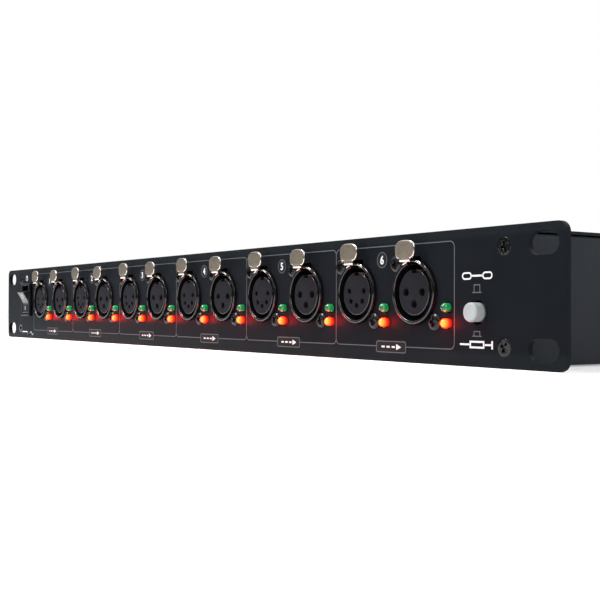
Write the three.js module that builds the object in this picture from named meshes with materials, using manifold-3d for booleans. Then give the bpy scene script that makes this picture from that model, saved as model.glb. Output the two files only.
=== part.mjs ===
// A six-way DMX splitter in a one-unit 19 inch rack case.
// Millimetres. X runs along the front panel, -Y points out of the panel, Z is up.
// The panel's front face lies at Y = 0 and its bottom edge at Z = 0 while the pieces are made.

import * as THREE from 'three';
import { mergeVertices } from 'three/addons/utils/BufferGeometryUtils.js';
import Module from 'manifold-3d';

const wasm = await Module();
wasm.setup();

// Clearances shared by all pieces
const seatGap = 0.3;
const holeGap = 0.3;
const overrun = 1.5;

// Front panel, a 2 mm plate with four rack slots
const panel = {
  width: 482.6,
  height: 44,
  thickness: 2,
  cornerRadius: 3.4,
  slotSpanX: 465.1,
  slotSpanZ: 31.75,
  slotLength: 12,
  slotHeight: 7,
};

// Folded tray and flat lid
const caseBox = {
  width: 440,
  depth: 150,
  floorHeight: 0.5,
  sheet: 1.2,
  bendRadius: 1.6,
  topFlange: 11,
  lidThickness: 1,
  lidTop: 43.2,
  lidCornerRadius: 1.2,
  lidScrewRadius: 1.6,
  lidScrewInset: 6,
  lidScrewFront: 24,
  lidScrewInnerX: 71.3333,
  tabWidth: 7.4,
  tabHeight: 9,
};

// Countersunk screws that hold the panel on the tray
const panelScrew = {
  spanX: 433.4,
  spanZ: 31.2,
  headRadius: 2.85,
  shankRadius: 1.5,
  headDepth: 1.3,
  length: 8,
  recessArm: 3.2,
  recessWidth: 0.9,
  recessDepth: 0.9,
};

// Six output groups, each with a five-pin and a three-pin socket
const outputs = {
  count: 6,
  firstEdge: -192.5,
  pitch: 64.5,
  fivePin: 13.1,
  threePin: 45.1,
  height: 24,
};

// Chassis socket of the round locking kind
const socket = {
  noseRadius: 10.9,
  noseProud: 1.3,
  lipChamfer: 0.4,
  boreRadius: 9.75,
  boreDepth: 13.8,
  insertRadius: 7.85,
  insertRecess: 0.7,
  bodyWidth: 23.6,
  flangeWidth: 26,
  flangeHeight: 27,
  flangeThickness: 3,
  flangeCorner: 2.5,
  keyWidth: 2.6,
  keyDepth: 1.3,
  keyLength: 12,
  contactDepth: 9,
};

// Contact circles: angles are seen from the mating side, from +X towards +Z
const threePin = {
  name: '3pin',
  contactCircle: 4.1,
  holeRadius: 1.4,
  pinRadius: 1.2,
  angles: [0, 180, 270],
};
const fivePin = {
  name: '5pin',
  contactCircle: 4.4,
  holeRadius: 1,
  pinRadius: 0.9,
  angles: [11, 169, 220, 270, 320],
};

// Latch lever: a bent strip with a thumb tab, a hook and two trunnions
const latch = {
  sheet: 0.8,
  bendRadius: 1,
  armWidth: 5.3,
  armHeight: 10.1,
  tabWidth: 9.7,
  tabHeight: 6.4,
  tabBottom: 11.6,
  tabCorner: 3,
  reachThreePin: 5,
  reachFivePin: 4.6,
  pivotDepth: 9,
  trunnionRadius: 0.9,
  trunnionSpan: 7.6,
  hookPlace: 3,
  hookLength: 1.6,
  hookDrop: 0.9,
  hookWidth: 3.6,
  swingRoom: 1.4,
};

// Pair of 3 mm lamps in a moulded spacer beside each socket
const lamp = {
  radius: 1.5,
  proud: 3.1,
  holeRadius: 1.75,
  pitch: 5.08,
  offset: 16.7,
  upperDrop: 5.2,
  spacerWidth: 4,
  spacerRim: 2.3,
};

// Upright board behind the sockets
const frontBoard = {
  faceDepth: 24,
  thickness: 1.6,
  leftEdge: -194.5,
  rightEdge: 213,
  bottom: 4,
  top: 40,
};

// Mains switch: snap-in housing with a rocker on two trunnions
const rocker = {
  x: -203,
  height: 24.5,
  bezelWidth: 15,
  bezelHeight: 21,
  bezelProud: 2.2,
  bezelCorner: 1.2,
  bezelChamfer: 0.6,
  bodyWidth: 13,
  bodyHeight: 19,
  bodyDepth: 17,
  wellWidth: 11.1,
  wellHeight: 17.8,
  wellDepth: 9,
  width: 10.5,
  halfLength: 6.8,
  pivotDepth: 3.4,
  edgeRise: 7.5,
  hollow: 1.3,
  edgeDepth: 4,
  heel: 3.4,
  trunnionRadius: 1.1,
  trunnionSpan: 12.1,
  terminalWidth: 4.8,
  terminalThickness: 0.8,
  terminalLength: 7,
  terminalPitch: 7,
};
const rockerTilt = THREE.MathUtils.degToRad(15);

// Latching push button and its switch body
const button = {
  x: 204.9,
  height: 17.3,
  capRadius: 3.1,
  capProud: 3.3,
  capEdge: 0.5,
  capDish: 0.25,
  capTail: 6.5,
  holeRadius: 3.9,
  stem: 3,
  stemLength: 9,
  travel: 2.5,
  bodySize: 8.4,
  bodyFace: 12,
};

// Rear connectors: places along X
const rear = {
  height: 22,
  inputThreeX: 180,
  inputFiveX: 147,
  linkThreeX: 104,
  linkFiveX: 71,
  socketLength: 22,
  inletX: -182,
};

// Chassis plug: a cup with pins
const plug = {
  cupRadius: 8,
  cupDepth: 12.8,
  pinRecess: 1.6,
  pinTip: 0.5,
  bodyLength: 20,
  keyWidth: 1.8,
  keyDepth: 0.8,
};

// Mains inlet with a fuse drawer below its well
const inlet = {
  flangeWidth: 31,
  flangeHeight: 35,
  flangeThickness: 2.2,
  flangeCorner: 2,
  bodyWidth: 27.4,
  bodyHeight: 31.4,
  bodyDepth: 24,
  wellWidth: 24,
  wellHeight: 16.2,
  wellDepth: 14.5,
  wellChamfer: 4.6,
  wellRise: 6.2,
  bladeWidth: 2,
  bladeHeight: 4,
  bladeLength: 13,
  bladeSpan: 14,
  bladeStep: 2,
  drawerDrop: 9.6,
  drawerWidth: 22.6,
  drawerHeight: 8.4,
  drawerDepth: 17,
  drawerProud: 0.8,
  drawerFace: 2.4,
  drawerWall: 0.9,
  gripWidth: 7,
  gripHeight: 1.6,
  gripDepth: 1.2,
  terminalWidth: 6.3,
  terminalThickness: 0.8,
  terminalLength: 9,
};
const fuse = { radius: 2.55, length: 19.6, capRadius: 2.75, capLength: 5 };

// Main board on four pressed bosses
const mainBoard = {
  left: -50,
  right: 190,
  front: 40,
  back: 118,
  bossHeight: 6,
  bossRadius: 3,
  bossInset: 6,
  thickness: 1.6,
  chipLength: 9.8,
  chipWidth: 6.4,
  chipHeight: 3.6,
  chipPitch: 17.5,
  chipCount: 12,
  chipPlace: 14,
  capacitorRadius: 6.2,
  capacitorHeight: 21,
  capacitorPitch: 18,
  capacitorInset: 14,
  capacitorCount: 3,
  headerLength: 34,
  headerWidth: 6,
  headerHeight: 9,
  coolerPlace: 84,
  coolerWidth: 23,
  coolerThickness: 9,
  coolerHeight: 24,
  coolerSlot: 2.6,
  coolerFins: 4,
};

// Small mains transformer, laminated core and wound bobbin
const transformer = {
  x: -120,
  y: 84,
  coreWidth: 54,
  coreHeight: 36,
  stack: 22,
  limb: 9,
  footLength: 10,
  footThickness: 1.4,
  footHoleRadius: 2,
  bobbinLip: 7.5,
};

// Number of flat faces on round pieces
const sides = {
  socket: 16,
  contact: 6,
  lamp: 6,
  screw: 8,
  button: 16,
  small: 6,
  corner: 2,
};

const colours = {
  panelPaint: { color: 0x24292c, roughness: 0.62, metalness: 0.25 },
  casePaint: { color: 0x2c2c31, roughness: 0.68, metalness: 0.25 },
  socketPlastic: { color: 0x17171a, roughness: 0.35, metalness: 0 },
  nickel: { color: 0xa79f93, roughness: 0.34, metalness: 0.9 },
  insertPlastic: { color: 0x2c2c2f, roughness: 0.5, metalness: 0 },
  blackPlastic: { color: 0x141518, roughness: 0.42, metalness: 0 },
  rockerPlastic: { color: 0x1d2328, roughness: 0.3, metalness: 0 },
  buttonPlastic: { color: 0xc9cbcc, roughness: 0.45, metalness: 0 },
  board: { color: 0x1f5a3a, roughness: 0.5, metalness: 0 },
  blackScrew: { color: 0x1a1817, roughness: 0.35, metalness: 0.8 },
  winding: { color: 0xb5702f, roughness: 0.45, metalness: 0.3 },
  laminations: { color: 0x55565a, roughness: 0.5, metalness: 0.7 },
  fuseGlass: { color: 0xd7dde0, roughness: 0.15, metalness: 0.1 },
};

const caseBack = panel.thickness + caseBox.depth;
const insideFace = panel.thickness + seatGap;
const flangeTop = caseBox.lidTop - caseBox.lidThickness - seatGap;
const boardFace = frontBoard.faceDepth;

// Outlines

function arc(x, y, radius, from, to, steps) {
  const points = [];
  for (let i = 0; i <= steps; i += 1) {
    const angle = from + ((to - from) * i) / steps;
    points.push(new THREE.Vector2(x + radius * Math.cos(angle), y + radius * Math.sin(angle)));
  }
  return points;
}

function circle(x, y, radius, count) {
  return arc(x, y, radius, 0, 2 * Math.PI, count).slice(0, count);
}

function roundedRectangle(x, y, width, height, radius, steps = sides.corner) {
  const right = x + width / 2 - radius;
  const left = x - width / 2 + radius;
  const top = y + height / 2 - radius;
  const bottom = y - height / 2 + radius;
  const quarter = Math.PI / 2;
  return [
    ...arc(right, top, radius, 0, quarter, steps),
    ...arc(left, top, radius, quarter, 2 * quarter, steps),
    ...arc(left, bottom, radius, 2 * quarter, 3 * quarter, steps),
    ...arc(right, bottom, radius, 3 * quarter, 4 * quarter, steps),
  ];
}

function rectangle(x, y, width, height) {
  return [
    new THREE.Vector2(x + width / 2, y + height / 2),
    new THREE.Vector2(x - width / 2, y + height / 2),
    new THREE.Vector2(x - width / 2, y - height / 2),
    new THREE.Vector2(x + width / 2, y - height / 2),
  ];
}

function obround(x, y, length, height, steps = 2 * sides.corner) {
  const half = (length - height) / 2;
  return [
    ...arc(x + half, y, height / 2, -Math.PI / 2, Math.PI / 2, steps),
    ...arc(x - half, y, height / 2, Math.PI / 2, 1.5 * Math.PI, steps),
  ];
}

// Outline of a folded strip: the corners lie on its outer side and every bend turns left
function foldedStrip(corners, sheet, bendRadius, steps = sides.corner) {
  const outer = [corners[0].clone()];
  const inner = [];
  const leftOf = (d) => new THREE.Vector2(-d.y, d.x);
  const headings = corners.slice(1).map((corner, i) => corner.clone().sub(corners[i]).normalize());
  inner.push(corners[0].clone().addScaledVector(leftOf(headings[0]), sheet));
  for (let i = 1; i < corners.length - 1; i += 1) {
    const before = headings[i - 1];
    const after = headings[i];
    const turn = Math.acos(before.dot(after));
    const setback = bendRadius * Math.tan(turn / 2);
    const centre = corners[i].clone().addScaledVector(before, -setback);
    centre.addScaledVector(leftOf(before), bendRadius);
    const start = Math.atan2(-leftOf(before).y, -leftOf(before).x);
    outer.push(...arc(centre.x, centre.y, bendRadius, start, start + turn, steps));
    inner.push(...arc(centre.x, centre.y, bendRadius - sheet, start, start + turn, steps));
  }
  const last = corners[corners.length - 1];
  outer.push(last.clone());
  inner.push(last.clone().addScaledVector(leftOf(headings[headings.length - 1]), sheet));
  return [...outer, ...inner.reverse()];
}

// Solids

function toSolid(geometry) {
  geometry.deleteAttribute('normal');
  geometry.deleteAttribute('uv');
  const merged = mergeVertices(geometry);
  const places = merged.getAttribute('position').array;
  const source = merged.getIndex().array;
  const corners = [];
  for (let i = 0; i < source.length; i += 3) {
    const [a, b, c] = [source[i], source[i + 1], source[i + 2]];
    if (a !== b && b !== c && c !== a) {
      corners.push(a, b, c);
    }
  }
  const mesh = new wasm.Mesh({
    numProp: 3,
    vertProperties: Float32Array.from(places),
    triVerts: Uint32Array.from(corners),
  });
  return new wasm.Manifold(mesh);
}

function extrude(outline, depth) {
  return new THREE.ExtrudeGeometry(new THREE.Shape(outline), { depth, bevelEnabled: false, steps: 1 });
}

// Cuts each hole outline right through a plate made by the given function
function pierced(make, low, high, outline, holes) {
  const tools = holes.map((hole) => make(hole, low - overrun, high + overrun));
  const plate = make(outline, low, high);
  return tools.length > 0 ? plate.subtract(joined(tools)) : plate;
}

// A plate across Y: the outline gives X and Z
function plateAcrossY(outline, front, back, holes = []) {
  const make = (points, low, high) => {
    const geometry = extrude(points, high - low);
    geometry.rotateX(Math.PI / 2);
    geometry.translate(0, high, 0);
    return toSolid(geometry);
  };
  return pierced(make, front, back, outline, holes);
}

// A bar along X, centred on X = x: the outline gives Y and Z
function barAlongX(outline, x, length) {
  const geometry = extrude(outline, length);
  const turn = new THREE.Matrix4().makeBasis(
    new THREE.Vector3(0, 1, 0),
    new THREE.Vector3(0, 0, 1),
    new THREE.Vector3(1, 0, 0),
  );
  geometry.applyMatrix4(turn);
  geometry.translate(x - length / 2, 0, 0);
  return toSolid(geometry);
}

// A slab across Z: the outline gives X and Y
function slabAcrossZ(outline, bottom, top, holes = []) {
  const make = (points, low, high) => {
    const geometry = extrude(points, high - low);
    geometry.translate(0, 0, low);
    return toSolid(geometry);
  };
  return pierced(make, bottom, top, outline, holes);
}

// A block between two corners
function block(x0, x1, y0, y1, z0, z1) {
  const geometry = new THREE.BoxGeometry(x1 - x0, y1 - y0, z1 - z0);
  geometry.translate((x0 + x1) / 2, (y0 + y1) / 2, (z0 + z1) / 2);
  return toSolid(geometry);
}

// A body turned round the Y axis from a profile of radius and depth pairs
function turned(profile, count, x = 0, z = 0) {
  const points = profile.map(([radius, depth]) => new THREE.Vector2(radius, depth));
  const geometry = new THREE.LatheGeometry(points, count);
  geometry.translate(x, 0, z);
  return toSolid(geometry);
}

function rodAlongY(x, z, radius, front, back, count) {
  return turned([[0, front], [radius, front], [radius, back], [0, back]], count, x, z);
}

function rodAlongX(y, z, radius, span, count) {
  return barAlongX(circle(y, z, radius, count), 0, span);
}

function rodAlongZ(x, y, radius, bottom, top, count) {
  return slabAcrossZ(circle(x, y, radius, count), bottom, top);
}

function joined(solids) {
  return solids.reduce((sum, solid) => sum.add(solid));
}

function cut(solid, tools) {
  return tools.reduce((rest, tool) => rest.subtract(tool), solid);
}

function piece(name, solid, finish) {
  const mesh = solid.getMesh();
  const geometry = new THREE.BufferGeometry();
  geometry.setAttribute('position', new THREE.BufferAttribute(Float32Array.from(mesh.vertProperties), 3));
  geometry.setIndex(new THREE.BufferAttribute(Uint32Array.from(mesh.triVerts), 1));
  geometry.computeVertexNormals();
  const node = new THREE.Mesh(geometry, new THREE.MeshStandardMaterial({ ...finish, flatShading: true }));
  node.name = name;
  return node;
}

// Opening for a socket or plug: a round hole, with a notch over it where a latch passes
function connectorHole(x, z, withLatch) {
  const radius = socket.noseRadius + holeGap;
  if (!withLatch) {
    return circle(x, z, radius, sides.socket);
  }
  const half = latch.armWidth / 2 + holeGap;
  const top = z + latch.armHeight + latch.sheet + latch.swingRoom;
  const side = Math.acos(half / radius);
  return [
    ...arc(x, z, radius, Math.PI - side, 2 * Math.PI + side, sides.socket),
    new THREE.Vector2(x + half, top),
    new THREE.Vector2(x - half, top),
  ];
}

// Socket housing, a cup with a flange and a square body, in the frame of its own axis
function makeHousing(wall, back) {
  const front = -socket.noseProud;
  const floor = front + socket.boreDepth;
  const nose = turned(
    [
      [0, floor],
      [socket.boreRadius, floor],
      [socket.boreRadius, front],
      [socket.noseRadius - socket.lipChamfer, front],
      [socket.noseRadius, front + socket.lipChamfer],
      [socket.noseRadius, floor + seatGap],
      [0, floor + seatGap],
    ],
    sides.socket,
  );
  const bore = [circle(0, 0, (socket.boreRadius + socket.noseRadius) / 2, sides.socket)];
  const seat = wall + seatGap;
  const shell = joined([
    makeFlange(seat, bore),
    plateAcrossY(rectangle(0, 0, socket.bodyWidth, socket.bodyWidth), seat, floor, bore),
    plateAcrossY(rectangle(0, 0, socket.bodyWidth, socket.bodyWidth), floor, back),
  ]);
  return nose.add(shell).subtract(latchWay());
}

// Contact insert, standing in the bore of its housing
function makeInsert(kind, back) {
  const face = socket.insertRecess - socket.noseProud;
  const post = turned(
    [
      [0, face],
      [socket.insertRadius, face],
      [socket.insertRadius, back],
      [0, back],
    ],
    sides.socket,
  );
  return cut(post, [...contactHoles(kind, face), keyway(face)]);
}

// Rear socket, its insert moulded in one with the housing
function makeLinkSocket(kind) {
  const floor = socket.boreDepth - socket.noseProud;
  return makeHousing(caseBox.sheet, rear.socketLength).add(makeInsert(kind, floor + seatGap));
}

function makeFlange(seat, bore) {
  const outline = roundedRectangle(0, 0, socket.flangeWidth, socket.flangeHeight, socket.flangeCorner, 1);
  return plateAcrossY(outline, seat, seat + socket.flangeThickness, bore);
}

function contactPlaces(kind) {
  return kind.angles.map((degrees) => {
    const angle = THREE.MathUtils.degToRad(degrees);
    return [kind.contactCircle * Math.cos(angle), kind.contactCircle * Math.sin(angle)];
  });
}

function contactHoles(kind, face) {
  return contactPlaces(kind).map(([x, z]) =>
    rodAlongY(x, z, kind.holeRadius, face - overrun, face + socket.contactDepth, sides.contact));
}

function keyway(face) {
  const half = socket.keyWidth / 2;
  const low = socket.insertRadius - socket.keyDepth;
  const top = socket.insertRadius + socket.keyDepth / 2;
  return block(-half, half, face - overrun, face + socket.keyLength, low, top);
}

// Slot through the top of the nose for the lever, with a wider seat for its trunnions
function latchWay() {
  const half = latch.armWidth / 2 + holeGap;
  const top = latch.armHeight + latch.sheet + latch.swingRoom + holeGap;
  const low = socket.boreRadius * Math.cos(Math.asin(half / socket.boreRadius)) - seatGap;
  const pivotHeight = latch.armHeight + latch.sheet / 2;
  const room = latch.trunnionRadius + seatGap;
  const back = latch.pivotDepth + room;
  const seatHalf = latch.trunnionSpan / 2 + seatGap;
  const slot = block(-half, half, -socket.noseProud - overrun, back, low, top);
  const seat = block(-seatHalf, seatHalf, latch.pivotDepth - room, back, pivotHeight - room, top);
  return slot.add(seat);
}

// Latch lever, in the frame of its socket's axis
function makeLatch(reach) {
  const strip = foldedStrip(
    [
      new THREE.Vector2(-reach, latch.tabBottom + latch.tabCorner),
      new THREE.Vector2(-reach, latch.armHeight),
      new THREE.Vector2(latch.pivotDepth, latch.armHeight),
    ],
    latch.sheet,
    latch.bendRadius,
  );
  const arm = barAlongX(strip, 0, latch.armWidth);
  const tabMiddle = latch.tabBottom + latch.tabHeight / 2;
  const tab = plateAcrossY(
    roundedRectangle(0, tabMiddle, latch.tabWidth, latch.tabHeight, latch.tabCorner),
    -reach,
    -reach + latch.sheet,
  );
  const trunnions = rodAlongX(
    latch.pivotDepth,
    latch.armHeight + latch.sheet / 2,
    latch.trunnionRadius,
    latch.trunnionSpan,
    sides.contact,
  );
  const hook = barAlongX(
    [
      new THREE.Vector2(latch.hookPlace, latch.armHeight + latch.sheet / 2),
      new THREE.Vector2(latch.hookPlace + latch.hookLength / 2, latch.armHeight - latch.hookDrop),
      new THREE.Vector2(latch.hookPlace + latch.hookLength, latch.armHeight - latch.hookDrop),
      new THREE.Vector2(latch.hookPlace + latch.hookLength, latch.armHeight + latch.sheet / 2),
    ],
    0,
    latch.hookWidth,
  );
  return joined([arm, tab, trunnions, hook]);
}

// Two lamps in their spacer, soldered to the board beside the socket at x
function makeLampPair(x) {
  const centre = x + lamp.offset;
  const upper = outputs.height - lamp.upperDrop;
  const heights = [upper, upper - lamp.pitch];
  const dome = lamp.proud - lamp.radius;
  const slope = Math.cos(Math.PI / 4) * lamp.radius;
  const lamps = heights.map((height) =>
    turned(
      [
        [0, -lamp.proud],
        [slope, -dome - slope],
        [lamp.radius, -dome],
        [lamp.radius, insideFace + seatGap],
        [0, insideFace + seatGap],
      ],
      sides.lamp,
      centre,
      height,
    ));
  const half = lamp.spacerWidth / 2;
  const back = boardFace + frontBoard.thickness / 2;
  const bottom = upper - lamp.pitch - lamp.spacerRim;
  const spacer = block(centre - half, centre + half, insideFace, back, bottom, upper + lamp.spacerRim);
  return joined([spacer, ...lamps]);
}

// Front panel with every opening that the pieces behind it need
function makePanel() {
  const middle = panel.height / 2;
  const holes = [];
  for (const sideX of [-1, 1]) {
    for (const sideZ of [-1, 1]) {
      const x = (sideX * panel.slotSpanX) / 2;
      const z = middle + (sideZ * panel.slotSpanZ) / 2;
      holes.push(obround(x, z, panel.slotLength, panel.slotHeight));
    }
  }
  for (const { x } of outputPlaces()) {
    holes.push(connectorHole(x, outputs.height, true));
    for (const drop of [lamp.upperDrop, lamp.upperDrop + lamp.pitch]) {
      holes.push(circle(x + lamp.offset, outputs.height - drop, lamp.holeRadius, sides.lamp));
    }
  }
  holes.push(circle(button.x, button.height, button.holeRadius, sides.button));
  const cutWidth = rocker.bodyWidth + 2 * holeGap;
  const cutHeight = rocker.bodyHeight + 2 * holeGap;
  holes.push(rectangle(rocker.x, rocker.height, cutWidth, cutHeight));
  const outline = roundedRectangle(0, middle, panel.width, panel.height, panel.cornerRadius, 2 * sides.corner);
  const plate = plateAcrossY(outline, 0, panel.thickness, holes);
  return cut(plate, screwPlaces().map(([x, z]) => screwShape(x, z, holeGap, overrun)));
}

function outputPlaces() {
  const places = [];
  for (let i = 0; i < outputs.count; i += 1) {
    const edge = outputs.firstEdge + outputs.pitch * i;
    places.push({ number: i + 1, kind: fivePin, reach: latch.reachFivePin, x: edge + outputs.fivePin });
    places.push({ number: i + 1, kind: threePin, reach: latch.reachThreePin, x: edge + outputs.threePin });
  }
  return places;
}

function screwPlaces() {
  const places = [];
  for (const sideX of [-1, 1]) {
    for (const sideZ of [-1, 1]) {
      places.push([(sideX * panelScrew.spanX) / 2, (panel.height + sideZ * panelScrew.spanZ) / 2]);
    }
  }
  return places;
}

// Countersunk screw body, grown by a clearance when it serves as a cutter
function screwShape(x, z, clearance, run) {
  const front = clearance > 0 ? -run : 0;
  const head = panelScrew.headRadius + clearance / 2;
  const shank = panelScrew.shankRadius + clearance;
  const back = panelScrew.length + run;
  return turned(
    [
      [0, front],
      [head, front],
      [head, clearance / 2],
      [shank, panelScrew.headDepth + clearance / 2],
      [shank, back],
      [0, back],
    ],
    sides.screw,
    x,
    z,
  );
}

function makeScrew() {
  const arm = panelScrew.recessArm / 2;
  const half = panelScrew.recessWidth / 2;
  const tools = [
    block(-arm, arm, -overrun, panelScrew.recessDepth, -half, half),
    block(-half, half, -overrun, panelScrew.recessDepth, -arm, arm),
  ];
  const body = turned(
    [
      [0, 0],
      [panelScrew.headRadius, 0],
      [panelScrew.shankRadius, panelScrew.headDepth],
      [panelScrew.shankRadius, panelScrew.length],
      [0, panelScrew.length],
    ],
    sides.screw,
  );
  return cut(body, tools);
}

// Folded tray: floor, side walls and top flanges in one strip, closed by the rear wall
function makeTray() {
  const half = caseBox.width / 2;
  const sheet = caseBox.sheet;
  const floor = caseBox.floorHeight;
  const strip = foldedStrip(
    [
      new THREE.Vector2(-half + caseBox.topFlange, flangeTop),
      new THREE.Vector2(-half, flangeTop),
      new THREE.Vector2(-half, floor),
      new THREE.Vector2(half, floor),
      new THREE.Vector2(half, flangeTop),
      new THREE.Vector2(half - caseBox.topFlange, flangeTop),
    ],
    sheet,
    caseBox.bendRadius,
  );
  const channel = plateAcrossY(strip, insideFace, caseBack);
  const wallMiddle = (floor + flangeTop) / 2;
  const wallHeight = flangeTop - floor;
  const wallOutline = roundedRectangle(0, wallMiddle, caseBox.width, wallHeight, caseBox.bendRadius);
  const rearWall = plateAcrossY(wallOutline, caseBack - sheet, caseBack, rearOpenings());
  const rearFlange = block(
    -half + sheet,
    half - sheet,
    caseBack - caseBox.topFlange,
    caseBack - sheet / 2,
    flangeTop - sheet,
    flangeTop,
  );
  const tabs = screwPlaces().map(([x, z]) => {
    const side = Math.sign(x);
    const outer = side * (half - sheet / 2);
    const inner = outer - side * caseBox.tabWidth;
    const low = z - caseBox.tabHeight / 2;
    return block(Math.min(outer, inner), Math.max(outer, inner), insideFace, insideFace + sheet,
      Math.max(low, floor + sheet / 2), Math.min(z + caseBox.tabHeight / 2, flangeTop - sheet / 2));
  });
  const bossTop = floor + sheet + mainBoard.bossHeight;
  const bosses = bossPlaces().map(([x, y]) =>
    rodAlongZ(x, y, mainBoard.bossRadius, floor + sheet / 2, bossTop, sides.small));
  const tray = joined([channel, rearWall, rearFlange, ...tabs, ...bosses]);
  const tabBack = insideFace + sheet + overrun;
  const screwCuts = screwPlaces().map(([x, z]) =>
    rodAlongY(x, z, panelScrew.shankRadius + holeGap, panel.thickness, tabBack, sides.screw));
  const lidCuts = lidScrewPlaces().map(([x, y]) =>
    rodAlongZ(x, y, caseBox.lidScrewRadius, flangeTop - sheet - overrun, flangeTop + overrun, sides.small));
  return cut(tray, [...screwCuts, ...lidCuts]);
}

// Openings in the rear wall, seen in X and Z
function rearOpenings() {
  const cutWidth = inlet.bodyWidth + 2 * holeGap;
  const cutHeight = inlet.bodyHeight + 2 * holeGap;
  return [
    connectorHole(rear.inputThreeX, rear.height, false),
    connectorHole(rear.inputFiveX, rear.height, false),
    connectorHole(rear.linkThreeX, rear.height, true),
    connectorHole(rear.linkFiveX, rear.height, true),
    rectangle(rear.inletX, rear.height, cutWidth, cutHeight),
  ];
}

function bossPlaces() {
  const { left, right, front, back, bossInset } = mainBoard;
  return [
    [left + bossInset, front + bossInset],
    [right - bossInset, front + bossInset],
    [left + bossInset, back - bossInset],
    [right - bossInset, back - bossInset],
  ];
}

function lidScrewPlaces() {
  const side = caseBox.width / 2 - caseBox.lidScrewInset;
  const near = panel.thickness + caseBox.lidScrewFront;
  const far = caseBack - caseBox.lidScrewInset;
  const middle = (near + far) / 2;
  return [
    [-side, near],
    [side, near],
    [-side, middle],
    [side, middle],
    [-side, far],
    [side, far],
    [-caseBox.lidScrewInnerX, far],
    [caseBox.lidScrewInnerX, far],
  ];
}

// Flat lid on the tray's flanges
function makeLid() {
  const middle = (insideFace + caseBack) / 2;
  const outline = roundedRectangle(0, middle, caseBox.width, caseBack - insideFace, caseBox.lidCornerRadius, 2);
  const holes = lidScrewPlaces().map(([x, y]) => circle(x, y, caseBox.lidScrewRadius, sides.small));
  return slabAcrossZ(outline, caseBox.lidTop - caseBox.lidThickness, caseBox.lidTop, holes);
}

// Switch housing: bezel and an open well, with trunnion holes and blade terminals
function makeRockerHousing() {
  const { bezelWidth, bezelHeight, bezelProud, bezelCorner, bezelChamfer } = rocker;
  const step = bezelChamfer;
  const layers = [
    plateAcrossY(roundedRectangle(0, 0, bezelWidth, bezelHeight, bezelCorner), -bezelProud + step, -seatGap),
    plateAcrossY(
      roundedRectangle(0, 0, bezelWidth - 2 * step, bezelHeight - 2 * step, bezelCorner),
      -bezelProud,
      -bezelProud + 2 * step,
    ),
    plateAcrossY(rectangle(0, 0, rocker.bodyWidth, rocker.bodyHeight), -bezelProud + step, rocker.bodyDepth),
  ];
  const terminals = [-1, 1].map((side) => {
    const half = rocker.terminalWidth / 2;
    const z = (side * rocker.terminalPitch) / 2;
    const thick = rocker.terminalThickness / 2;
    const back = rocker.bodyDepth + rocker.terminalLength;
    return block(-half, half, rocker.bodyDepth - overrun, back, z - thick, z + thick);
  });
  const wellFront = -bezelProud - overrun;
  const well = plateAcrossY(rectangle(0, 0, rocker.wellWidth, rocker.wellHeight), wellFront, rocker.wellDepth);
  const holeRadius = rocker.trunnionRadius + seatGap;
  const bearing = rodAlongX(rocker.pivotDepth, 0, holeRadius, rocker.trunnionSpan + 2 * seatGap, sides.small);
  return cut(joined([...layers, ...terminals]), [well, bearing]);
}

// Rocker, tilted so that its lower half is pressed in
function makeRocker() {
  const { halfLength, edgeRise, hollow, edgeDepth, heel } = rocker;
  const radius = (halfLength * halfLength + hollow * hollow) / (2 * hollow);
  const spread = Math.asin(halfLength / radius);
  const face = arc(-edgeRise + hollow - radius, 0, radius, spread, -spread, 3 * sides.corner);
  const outline = [
    ...face,
    new THREE.Vector2(-edgeRise + edgeDepth, -halfLength),
    new THREE.Vector2(heel / 2, -heel),
    new THREE.Vector2(heel, 0),
    new THREE.Vector2(heel / 2, heel),
    new THREE.Vector2(-edgeRise + edgeDepth, halfLength),
  ];
  const tilt = (point) => point.clone().rotateAround(new THREE.Vector2(0, 0), rockerTilt);
  const place = (point) => tilt(point).add(new THREE.Vector2(rocker.pivotDepth, 0));
  const body = barAlongX(outline.map(place), 0, rocker.width);
  const pin = rodAlongX(rocker.pivotDepth, 0, rocker.trunnionRadius, rocker.trunnionSpan, sides.small);
  return body.add(pin);
}

// Push switch body with a square way for the stem
function makeButtonBody() {
  const half = button.bodySize / 2;
  const way = button.stem / 2 + seatGap;
  const body = block(-half, half, button.bodyFace, boardFace - seatGap, -half, half);
  const depth = button.capTail + button.stemLength + button.travel + seatGap;
  return body.subtract(block(-way, way, button.bodyFace - overrun, depth, -way, way));
}

function makeButtonCap() {
  const front = -button.capProud;
  const radius = button.capRadius;
  const cap = turned(
    [
      [0, front + button.capDish],
      [radius - 2 * button.capEdge, front],
      [radius - button.capEdge / 2, front + button.capEdge / 2],
      [radius, front + button.capEdge],
      [radius, button.capTail],
      [0, button.capTail],
    ],
    sides.button,
  );
  const half = button.stem / 2;
  const stem = block(-half, half, button.capTail - overrun, button.capTail + button.stemLength, -half, half);
  return cap.add(stem);
}

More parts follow.
